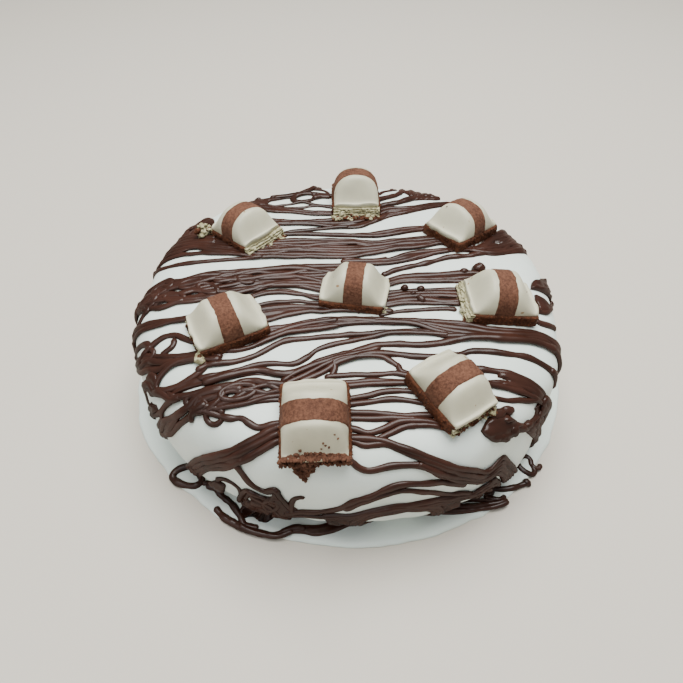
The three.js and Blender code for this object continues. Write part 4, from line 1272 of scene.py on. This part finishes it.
def drizzle_front(b):
    b.band([(-36, -33), (-30, -30.5), (-20, -27.8), (-10, -27), (0, -25.8), (5, -27), (20, -27.7),
            (40, -28), (48, -28.8), (52, -30.2), (60, -31.5), (70, -31.5), (77, -30.3), (84, -30),
            (90, -31), (102, -29)],
           [(-36, -42), (-25, -36), (-15, -34), (-5, -33), (5, -31.5), (20, -31.3), (26, -31.8),
            (30, -33.2), (36, -36), (45, -38.5), (52, -39.5), (60, -39.7), (70, -39), (80, -38.2),
            (86, -39), (90, -43), (102, -42)])
    b.strand([(-52, -41), (-42, -40.5), (-33, -37.5), (-25, -33.5), (-15, -30.5), (-5, -29)], 2.4)
    b.strand([(-50, -45), (-40, -43.5), (-32, -39.5), (-25, -36), (-14, -33.8), (-4, -32)], 2.4)
    b.band([(-103, -20), (-96, -21.8), (-90, -23.3), (-84, -24.3), (-78, -25), (-70, -25.6), (-58, -26)],
           [(-103, -27), (-96, -28.2), (-88, -28.7), (-80, -28.8), (-70, -28.6), (-58, -29)], 2.0)
    b.strand([(-108, -30), (-100, -32.5), (-92, -34.4), (-86, -36), (-83, -38.5), (-80, -42)], 2.6)
    b.strand([(-84, -40), (-80, -37), (-76, -35), (-71, -35.2), (-67, -37.5), (-62, -40)], 2.6)
    b.strand([(-71, -36), (-70, -38.5), (-73, -41.5), (-76, -44), (-72, -46), (-66, -46), (-58, -46)], 2.4)
    b.band([(-112, -33), (-104, -36), (-96, -39), (-90, -40.2), (-84, -40), (-78, -42.5), (-72, -45),
            (-64, -45.5), (-50, -46)],
           [(-112, -37.5), (-104, -41), (-96, -44.5), (-90, -47.5), (-84, -50), (-78, -51.5), (-70, -51.5),
            (-64, -50.5), (-50, -51)], rise=0.33, weave=1.2)
    b.patch(-80, -56, [(-89, -52.5), (-84, -50.5), (-79, -50.5), (-76, -54), (-76.8, -58), (-73, -61),
                       (-67, -62.5), (-66, -65.5), (-72, -65.5), (-78, -62), (-84, -58)], 1.7, 0.6, -50)
    b.ribbon([(-114, -55.5), (-104, -59.5), (-98, -61), (-92, -61.6), (-86, -61.2), (-80, -60)],
             [(-114, -59), (-104, -63), (-98, -65), (-92, -66), (-86, -66.4), (-80, -66)], 1.3, 0.6)
    b.strand([(-90, -65), (-84, -66.7), (-78, -66.6), (-72, -65), (-64, -64)], 2.3)
    b.ring(-66.5, -54.2, 11, 4.8, 20, 2.5)
    b.strand([(-88, -53), (-82, -55), (-79, -60), (-74, -63.5), (-64, -65)], 3.0)
    b.ribbon([(-74, -60.5), (-66, -59.5), (-60, -57.6), (-50, -56.2), (-42, -54.8), (-34, -54.2),
              (-28, -56), (-20, -57.2)],
             [(-74, -64), (-62, -61.8), (-52, -60.5), (-44, -58.8), (-36, -57.2), (-28, -58.6), (-20, -60)],
             1.1, 0.6)
    b.strand([(-60, -53), (-52, -51.6), (-45, -50.6), (-38, -48.2), (-30, -42.2), (-25, -39.7),
              (-18, -38.7), (-8, -37.7), (0, -36.8), (8, -36), (15, -34.9), (25, -34.7), (32, -35.4),
              (38, -37.2), (48, -37.8), (60, -37.4), (72, -36.5)], 2.5)
    b.strand([(-58, -58), (-45, -55.7), (-38, -53.2), (-30, -51.7), (-22, -52), (-17, -49), (-13, -45),
              (-8, -42.5), (0, -40), (8, -37.9), (15, -36.4), (25, -35.9), (33, -36.2), (40, -37)], 2.3)
    b.strand([(-56, -60), (-45, -57.3), (-35, -55), (-28, -57), (-22, -57), (-12, -51.3), (-5, -48.5),
              (3, -45.5), (10, -42.7), (18, -42), (28, -42.2), (36, -41), (43, -39.3), (52, -38.4),
              (64, -38.2), (76, -37.4), (86, -37.6)], 3.0)
    b.strand([(-26, -60.5), (-18, -55.5), (-10, -51.6), (-2, -48.9), (5, -46.6), (12, -44)], 2.2)
    b.strand([(-25, -62), (-15, -56.2), (-5, -51), (5, -48), (14, -46)], 2.2)
    b.strand([(-19, -61), (-10, -56), (-4, -51.8), (8, -47.6), (18, -47.2), (25, -48.4), (33, -48.6),
              (42, -47.6), (48, -45.3), (60, -45.2), (70, -45.7), (78, -47.3), (85, -48.6)], 2.6)
    b.strand([(83, -48.3), (90, -46), (98, -42.6), (106, -38)], 1.6, turning=False)
    b.strand([(-8, -60), (-6, -55), (-6, -51.6), (0, -49.7), (8, -48.7), (14, -49.3), (18, -52),
              (19.5, -56.5), (26, -58)], 2.2)
    b.strand([(-10, -59), (-4, -58.2), (5, -57.4), (15, -56.6), (22, -58.2), (30, -60)], 2.3)
    b.strand([(-8, -62), (-3, -61.7), (8, -60.7), (20, -61), (30, -61)], 2.4)
    b.strand([(40, -52.6), (50, -53.8), (62, -55), (72, -57.2), (80, -59.6), (88, -62)], 2.6)
    b.strand([(46, -61), (52, -60.4), (58, -59), (66, -59.3), (76, -60.8), (84, -62)], 2.4)
    b.ribbon([(56, -54.6), (64, -55), (72, -57), (80, -59.2), (86, -61)],
             [(56, -60.8), (64, -61.6), (70, -62.6), (78, -63.6), (86, -65)], 1.1, 0.5)
    b.strand([(46, -61.2), (54, -61.2), (65, -61.6), (75, -62.9), (84, -63)], 2.2)
    b.strand([(50, -66), (57, -66.3), (63, -66.5), (69, -65), (75, -63)], 2.0)
    for i in range(4):
        b.strand([(80, -61 - 3 * i), (90, -62.5 - 3.6 * i), (102, -66 - 3.2 * i), (112, -72 - 2 * i)],
                 4.0, 0.5)
    b.patch(58.5, -77.3, [(47.5, -79.3), (50, -75), (54, -71.5), (60, -71.8), (66, -73.7), (72, -73),
                          (74, -75.5), (67, -77.8), (63, -80.3), (57, -82.6), (51.5, -82)], 1.9, 0.5, 20)
    b.blob(52, -79.3, 3.2, 2.0, 20, 2.2, 511)
    b.blob(54.5, -72.5, 3.6, 2.4, 30, 2.2, 523)
    b.blob(59, -70.3, 3.4, 2.0, 20, 2.0, 525)
    b.blob(58, -80.3, 4.4, 2.1, 0, 2.3, 513)
    b.blob(62.5, -77, 2.8, 2.6, -20, 3.0, 515)
    b.blob(58.5, -73.8, 3.0, 1.5, 10, 2.9, 517)
    b.blob(68, -75.5, 4.0, 1.9, 0, 2.4, 519)
    b.blob(71.5, -73.5, 2.6, 1.7, 30, 2.6, 521)
    b.ribbon([(72, -71), (76, -63), (82, -61.2), (90, -60.2), (100, -57.8), (108, -55.5), (115, -53)],
             [(72, -76.5), (76, -77.3), (82, -78), (90, -78.2), (100, -77.3), (108, -75.5), (115, -73)],
             1.2, 0.7)
    b.ribbon([(-97, -93.3), (-85, -92.3), (-75, -90.8), (-60, -87.8), (-45, -85.8), (-35, -82.3),
              (-26, -79)],
             [(-97, -99.3), (-85, -100.2), (-77, -98.2), (-72, -95.7), (-60, -95.2), (-45, -94.3),
              (-42, -91.2), (-35, -88.7), (-26, -84.7)], 1.1, 0.6)
    b.ribbon([(24, -88.3), (35, -91.8), (45, -95.3), (55, -96.3), (62, -93), (66, -89.8), (72, -90.9),
              (80, -93.3), (90, -94.8), (100, -94.3), (107, -92)],
             [(24, -91.7), (28, -94.7), (33, -98.2), (42, -99.7), (48, -103.2), (55, -102.7), (60, -100.2),
              (65, -97.2), (68, -96.7), (75, -99.7), (82, -102.7), (90, -103.7), (98, -102.2), (107, -96)],
             1.1, 0.6)
    b.band([(-66, -64.3), (-58, -63.3), (-52, -62), (-46, -60.5), (-40, -58.8), (-34, -58.2), (-22, -60)],
           [(-66, -70.5), (-60, -71), (-54, -70.8), (-46, -72.3), (-40, -71.2), (-34, -70.2), (-22, -70)],
           1.9, 2.3, 0.9, 0.5, 0.36, 1.8)
    for x, y, a, c, turn in ((-53, -67, 6, 3.2, 30), (-42, -65, 6.5, 3.2, 10), (-58, -68, 5, 2.6, -30)):
        b.ring(x, y, a, c, turn, 2.5)
    b.band([(-102, -71), (-88, -70), (-78, -68), (-65, -64), (-55, -62), (-40, -60)],
           [(-102, -78), (-88, -77), (-78, -76), (-65, -71), (-55, -68), (-40, -66)], 1.9, 2.5, 0.6)
    b.strand([(-98, -73), (-88, -75.5), (-78, -76.6), (-68, -74), (-60, -71.6), (-52, -69.5)], 2.4)
    b.ring(-50.5, -73.6, 3.2, 2.9, 0, 2.0)
    b.strand([(-53, -68.5), (-57, -70), (-60, -71.8), (-60.5, -74.4)], 2.9)
    b.strand([(-60, -69.5), (-54, -71.5), (-45, -74.6), (-40, -75), (-37, -77), (-33, -79), (-26, -78),
              (-20, -78)], 2.3)
    b.strand([(-22, -79), (-26, -79.3), (-35, -83), (-45, -86.6), (-60, -89), (-75, -92), (-88, -94.5),
              (-101, -93)], 2.4)
    b.strand([(-22, -82), (-26, -81.8), (-35, -85.3), (-45, -88.8), (-60, -91), (-75, -94), (-88, -97),
              (-100, -96)], 2.4)
    b.strand([(-22, -84), (-26, -84.3), (-35, -88.2), (-42, -90.8), (-60, -93.4), (-75, -96), (-88, -99),
              (-99, -99)], 2.4)
    b.strand([(-40, -90), (-52, -94), (-64, -95), (-76, -98), (-86, -101)], 2.2)
    b.strand([(-4, -63.2), (0, -63), (8, -62), (20, -61.8), (32, -62)], 2.3)
    b.strand([(-4, -69), (0, -68.5), (6, -67.2), (12, -65.5), (22, -65.3), (32, -66)], 2.3)
    b.strand([(-4, -71.5), (0, -71), (6, -70), (14, -68.7), (23, -69.5), (32, -71)], 2.3)
    b.strand([(-4, -74), (1, -74), (10, -74.4), (18, -75.4), (28, -74.8), (34, -74)], 2.3)
    b.strand([(-4, -76.5), (1, -76.5), (8, -76.6), (15, -76.4), (28, -77), (34, -78)], 2.2)
    b.strand([(-4, -80), (1, -80.5), (6, -81.8), (12, -80), (18, -77.8), (28, -77.4), (34, -79)], 2.2)
    b.strand([(-4, -83), (1, -83.5), (8, -84.3), (14, -82), (20, -79.4), (29, -78.7), (36, -80)], 2.2)
    b.strand([(-4, -85), (1, -85.2), (5, -86.4), (12, -85.8), (18, -88), (28, -91), (38, -94), (45, -96),
              (60, -98), (67, -93), (75, -95), (88, -99), (100, -98)], 2.4)
    b.strand([(-2, -84), (10, -84.6), (18, -86.8), (28, -89.6), (38, -92.6), (46, -94.2), (58, -95.6),
              (66, -90), (74, -92), (90, -95), (101, -93)], 2.2)
    b.strand([(-4, -90), (0, -91.5), (3, -94), (7, -95), (15, -93.2), (25, -92.8), (32, -94.6), (38, -97),
              (45, -100), (60, -101), (68, -97), (76, -98), (88, -102), (99, -102)], 2.4)
    b.strand([(24, -92), (36, -96), (46, -98), (58, -99.5), (67, -95), (76, -96.5), (88, -100.5),
              (99, -100)], 2.3)


def drizzle_side(b):
    b.patch(-48, -124, [(-46, -106), (-40, -109), (-35, -109), (-32, -105), (-29.5, -106), (-29, -113),
                        (-25, -118), (-29, -121), (-32, -127), (-30, -133.5), (-38, -136), (-45, -138),
                        (-55, -142.5), (-63, -139), (-70, -138), (-73, -134), (-71, -128), (-73, -123.5),
                        (-66, -120), (-58, -116), (-52, -110)], 1.2, 0.7, -40)
    b.patch(-72, -108, [(-83.5, -111), (-82, -107), (-77, -104.3), (-70, -103), (-63, -103.3), (-61, -105),
                        (-65, -108.5), (-69, -111), (-76, -113), (-81, -113.3)], 1.6, 0.2, 10)
    b.patch(-103, -99, [(-114, -95), (-105, -94), (-98, -96), (-95.5, -101), (-95.5, -107.5), (-101, -105),
                        (-108, -101)], 1.6, 0.5, -30)
    b.patch(-3, -131, [(-12, -123), (-3, -121.5), (8, -119.5), (11, -121), (7, -125), (6.5, -128),
                       (8, -132), (13, -135.5), (20, -137), (20, -141), (5, -143), (-8, -141), (-12, -136),
                       (-13, -130)], 1.2, 0.6, -50)
    b.patch(53, -123, [(40, -111), (50, -110), (56, -113), (60, -118.5), (66, -119), (71, -114), (72, -118),
                       (66, -126), (61, -132), (56, -136), (44, -137.5), (37, -138.5), (42, -134),
                       (45.5, -130), (46, -125), (44, -120), (40, -117.5)], 1.2, 0.6, 60)
    b.patch(72, -109, [(64, -104), (70, -99.5), (80, -102), (90, -105), (86, -109), (80, -112), (75, -116),
                       (70, -121), (66, -119.5), (67, -113), (62, -110), (58, -108.5)], 1.2, 0.5, 10)
    b.patch(108.5, -104, [(103.5, -110), (104, -106), (108, -101), (113, -97), (114, -100.5), (112, -107),
                          (107.5, -111.5)], 1.5, 0.3, 50)
    b.ribbon([(-14, -120.6), (0, -118.3), (10, -114.3), (20, -111.3), (30, -110.3), (40, -110.3),
              (50, -109.8), (60, -106.5), (68, -103)],
             [(-14, -124), (0, -123), (10, -120), (20, -117.7), (30, -116.7), (40, -117), (46, -118),
              (60, -112), (68, -108)], 1.1)
    b.ribbon([(-36, -131), (-28, -132), (-20, -133.3), (-12, -134.3), (0, -137), (12, -138.5),
              (24, -138.5)],
             [(-36, -136), (-28, -137), (-20, -138.3), (-10, -140.3), (0, -142), (12, -142.5),
              (24, -141.5)], 0.9)
    b.ribbon([(-44, -146.5), (-36, -145.4), (-30, -145.5), (-20, -146.3), (-12, -145), (0, -142),
              (10, -140.5), (20, -139), (30, -137.8), (40, -136), (50, -134.5), (60, -132), (70, -130),
              (80, -127.5), (90, -125.5), (104, -122)],
             [(-44, -149), (-36, -148.6), (-28, -149.5), (-22, -151), (-10, -149.9), (0, -147.4),
              (10, -146), (20, -143), (30, -141), (40, -138.9), (50, -138.2), (60, -138.6), (70, -137.2),
              (80, -134.7), (88, -132), (95, -129.5), (104, -124.8)], 1.3, 0.5)
    b.ribbon([(60, -132.5), (70, -128.6), (80, -123.2), (88, -117), (95, -111), (100, -106.5),
              (105, -101.5), (110, -97.5), (114, -95)],
             [(60, -135), (70, -131.2), (80, -128), (88, -123.5), (95, -118), (100, -112.5), (105, -108),
              (110, -103), (114, -98)], 1.1, 0.5)
    b.strand([(-44.5, -92), (-43.7, -97), (-41.5, -102.5), (-37, -106), (-33, -105), (-30.5, -104)], 2.5)
    b.strand([(-31, -104), (-31, -109), (-30, -113), (-28, -118)], 2.3)
    b.strand([(-19.5, -108.8), (-24, -110.3), (-27, -113.5), (-28.3, -118), (-30, -122)], 2.1)
    b.strand([(-32, -119), (-25, -119.7), (-15, -119), (-8, -117), (-3, -113.5), (2, -109.5), (8, -106),
              (14, -102.3), (20, -100.3), (30, -100), (40, -101), (50, -102)], 2.7)
    b.strand([(-3, -114.5), (3, -110.5), (10, -106.5), (17, -104), (22, -103.3), (28, -104), (35, -106),
              (42, -108.3), (50, -109), (58, -107.3), (63, -105), (68, -101.5)], 2.1)
    b.strand([(-34, -120.5), (-24, -121.8), (-12, -122), (0, -120), (10, -116), (20, -113), (30, -112),
              (40, -112), (52, -111), (62, -107.5), (70, -104), (80, -104)], 2.1)
    b.strand([(-12, -123), (0, -122), (10, -118.6), (20, -116), (30, -115), (40, -115.3), (48, -115)], 2.1)
    b.strand([(-8, -122), (5, -119.5), (16, -115.8), (28, -113.6), (40, -113.6), (50, -113)], 2.0)
    b.strand([(-66, -102.3), (-60, -101.7), (-55, -102.8), (-52.3, -106.5), (-54, -111), (-58, -115),
              (-64, -118.3), (-71, -119.3), (-78, -117.3), (-83, -112.5), (-83.3, -109)], 2.3, 0.15)
    b.strand([(-60, -116), (-53, -110), (-47, -106.5), (-42, -108.5), (-38, -110)], 2.2)
    b.strand([(-101, -115), (-96, -115.5), (-91, -116.5), (-86, -118), (-80, -121), (-74, -125),
              (-68, -127)], 2.0)
    b.strand([(-98, -116.5), (-92, -119.5), (-87, -124), (-82, -129), (-76, -133.5), (-71, -137),
              (-66, -140.5), (-58, -143.8)], 2.6)
    b.strand([(-113, -97), (-109, -103.5), (-105, -108.5), (-101.8, -113), (-104, -115.3), (-109, -114),
              (-115, -110.8), (-119.3, -107), (-119.5, -103.7), (-116, -102), (-111.5, -102.8),
              (-108, -106)], 2.8, 0.15)
    b.strand([(-88, -129.7), (-80, -136), (-72, -140.3), (-65, -143.8), (-55, -146.8), (-47, -148.3),
              (-41, -147.6), (-35, -146.8), (-28, -147.8)], 2.6, 0.15)
    b.strand([(-70, -141.5), (-60, -145.5), (-50, -148.3), (-44, -149.2), (-36, -148)], 2.1)
    b.strand([(-66, -118), (-58, -124), (-50, -130), (-40, -134)], 2.1)
    b.strand([(-70, -126), (-60, -130), (-50, -136)], 2.1)
    b.strand([(-56, -114), (-50, -120), (-42, -128), (-34, -132)], 2.0)
    b.strand([(-46, -108), (-41, -113), (-36, -121), (-33, -128)], 2.0)
    b.strand([(-72, -131), (-62, -135), (-52, -139), (-42, -138), (-34, -139.5), (-22, -141), (-10, -141.4),
              (5, -141.9), (20, -141)], 2.2)
    b.strand([(-36, -133), (-24, -134.5), (-14, -136.8), (0, -139.8), (12, -140.7)], 2.2)
    b.ring(-38, -115, 4.5, 3, 30, 1.9)
    b.ring(-57, -128, 5, 3, -30, 1.9)
    b.ring(-44, -132, 4, 2.4, 0, 1.9)
    for i in range(3):
        b.ring(26, -127, 21 + 2.2 * i, 11 + 1.4 * i, 0, 2.3)
    b.strand([(62, -133), (72, -129), (82, -124), (90, -117.5), (97, -111), (103, -104.5), (110, -98.5),
              (115, -95)], 2.4)
    b.strand([(66, -134), (76, -131.5), (86, -129.5), (95, -127), (104, -123.5)], 2.3)
    b.strand([(64, -136), (76, -134), (88, -131), (98, -127.5), (104, -124.5)], 2.0)
    b.strand([(84, -124), (90, -120.5), (96, -119), (103, -117.5), (110, -115), (116, -112),
              (119.5, -109.8)], 2.3)
    b.blob(119.5, -109.5, 2.6, 2.2, 40, 1.8, 511)
    b.strand([(86, -125), (92, -119), (97, -121), (92, -124), (99, -124.5), (104, -121)], 2.0)
    b.strand([(112, -104), (117, -100.5), (120, -95.5), (124.5, -92), (127, -93), (126.5, -97),
              (127, -100.5), (124, -103.5), (120, -102), (118.5, -98.5)], 2.3, 0.15)
    b.strand([(126, -97), (129, -98.5), (132, -95)], 1.9)
    b.patch(123.5, -72, [(116, -71), (120, -66), (126, -64), (130, -67), (132, -73), (129, -79), (124, -78),
                         (120, -82), (117.5, -77)], 1.3, 0.6, 30)
    b.ring(126, -66, 4.5, 3, 30, 2.0)
    b.strand([(122, -80), (126, -84), (131, -83), (134, -79)], 2.0)


# Neighbouring ends this far apart in y join in a loop, for this share of them
PAIR_LEAST, PAIR_MOST = 0.8, 9
PAIR_SHARE = 0.85
# How far loops and single ends reach past the ends of the strands
LOOP_REACH = (5, 15)
LONE_REACH = (3, 14)


def turns(b, side):
    """Turns in which the strands come back over the left or right shoulder."""
    ends = sorted((e for e in strand_ends if e[0][0] * side > 0), key=lambda e: -e[0][1])
    while ends:
        start, out = ends.pop(0)
        if ends and PAIR_LEAST < start[1] - ends[0][0][1] < PAIR_MOST and rng.uniform() < PAIR_SHARE:
            other, other_out = ends.pop(0)
            reach = rng.uniform(*LOOP_REACH)
            far = unit((start + other) / 2) * (max(np.hypot(*start), np.hypot(*other)) + reach)
            route = [start - 3 * out, start, start + 0.5 * reach * unit(unit(start) + 0.4 * out), far,
                     other + 0.5 * reach * unit(unit(other) + 0.4 * other_out), other, other - 3 * other_out]
            b.strand(route, rng.uniform(2.2, 2.7), 0.4, turning=False)
        else:
            reach = rng.uniform(*LONE_REACH)
            route = [start - 3 * out, start, start + 0.5 * reach * unit(unit(start) + out),
                     start + reach * unit(start) + rng.uniform(-2, 2, 2)]
            b.strand(route, rng.uniform(2.2, 2.8), 0.3, turning=False)


# Drips down the rear: angle in degrees, and the draped distance that they reach
REAR_DRIPS = ((60, 112), (67, 121), (74, 109), (123, 110), (129, 121))


def drizzle_turns(b):
    turns(b, -1)
    turns(b, 1)
    for degrees, reach in REAR_DRIPS:
        a = math.radians(degrees)
        route = [(r * math.cos(t), r * math.sin(t)) for r, t in ((90, a), (103, a), (reach, a + 0.02))]
        b.strand(route, 2.5, 0.5)


for draw in (drizzle_rear, drizzle_middle, drizzle_front, drizzle_side, drizzle_turns):
    beads = Beads(draw.__name__)
    draw(beads)
    beads.finish()

# Stage, in metres but for the camera's place

FLOOR_SIZE = 6
LIGHT_AIM = Vector((0, 0, 0.03))
LIGHT_SIZE = 0.9
# The camera stands as the photo was taken: millimetres from the cake's middle, and degrees
CAMERA_PLACE = (-3.47, -194.36, 220.26)
CAMERA_TILT = 43.51
CAMERA_ROLL = 0.14
CAMERA_LENS = 29.52
CAMERA_SENSOR = 36


def add_floor():
    bpy.ops.mesh.primitive_plane_add(size=FLOOR_SIZE, location=(0, 0, 0))
    floor = bpy.context.object
    floor.name = "floor"
    f = Finish("floor")
    f.set(Base_Color=linear(208, 200, 188), Roughness=0.8)
    floor.data.materials.append(f.material)


def add_light(name, location, power, colour):
    data = bpy.data.lights.new(name, "AREA")
    data.shape = "SQUARE"
    data.size = LIGHT_SIZE
    data.energy = power
    data.color = colour
    light = bpy.data.objects.new(name, data)
    light.location = location
    light.rotation_euler = (LIGHT_AIM - Vector(location)).to_track_quat("-Z", "Y").to_euler()
    bpy.context.scene.collection.objects.link(light)


def add_world():
    world = bpy.data.worlds.new("studio")
    world.use_nodes = True
    background = world.node_tree.nodes["Background"]
    background.inputs["Color"].default_value = (0.93, 0.98, 0.99, 1)
    background.inputs["Strength"].default_value = 0.36
    bpy.context.scene.world = world


def add_camera():
    data = bpy.data.cameras.new("camera")
    data.lens = CAMERA_LENS
    data.sensor_width = CAMERA_SENSOR
    camera = bpy.data.objects.new("camera", data)
    camera.location = (Vector(CAMERA_PLACE) + Vector(SHIFT)) * MM
    tilt = Euler((math.radians(CAMERA_TILT), 0, 0)).to_matrix()
    camera.rotation_euler = (tilt @ Matrix.Rotation(math.radians(CAMERA_ROLL), 3, "Z")).to_euler()
    bpy.context.scene.collection.objects.link(camera)
    bpy.context.scene.camera = camera


add_floor()
add_light("key", (0.07, 0.2, 1.1), 27.5, (0.99, 1.0, 0.975))
add_light("fill", (-0.5, -0.5, 0.8), 3.0, (0.97, 0.99, 1.0))
add_world()
add_camera()
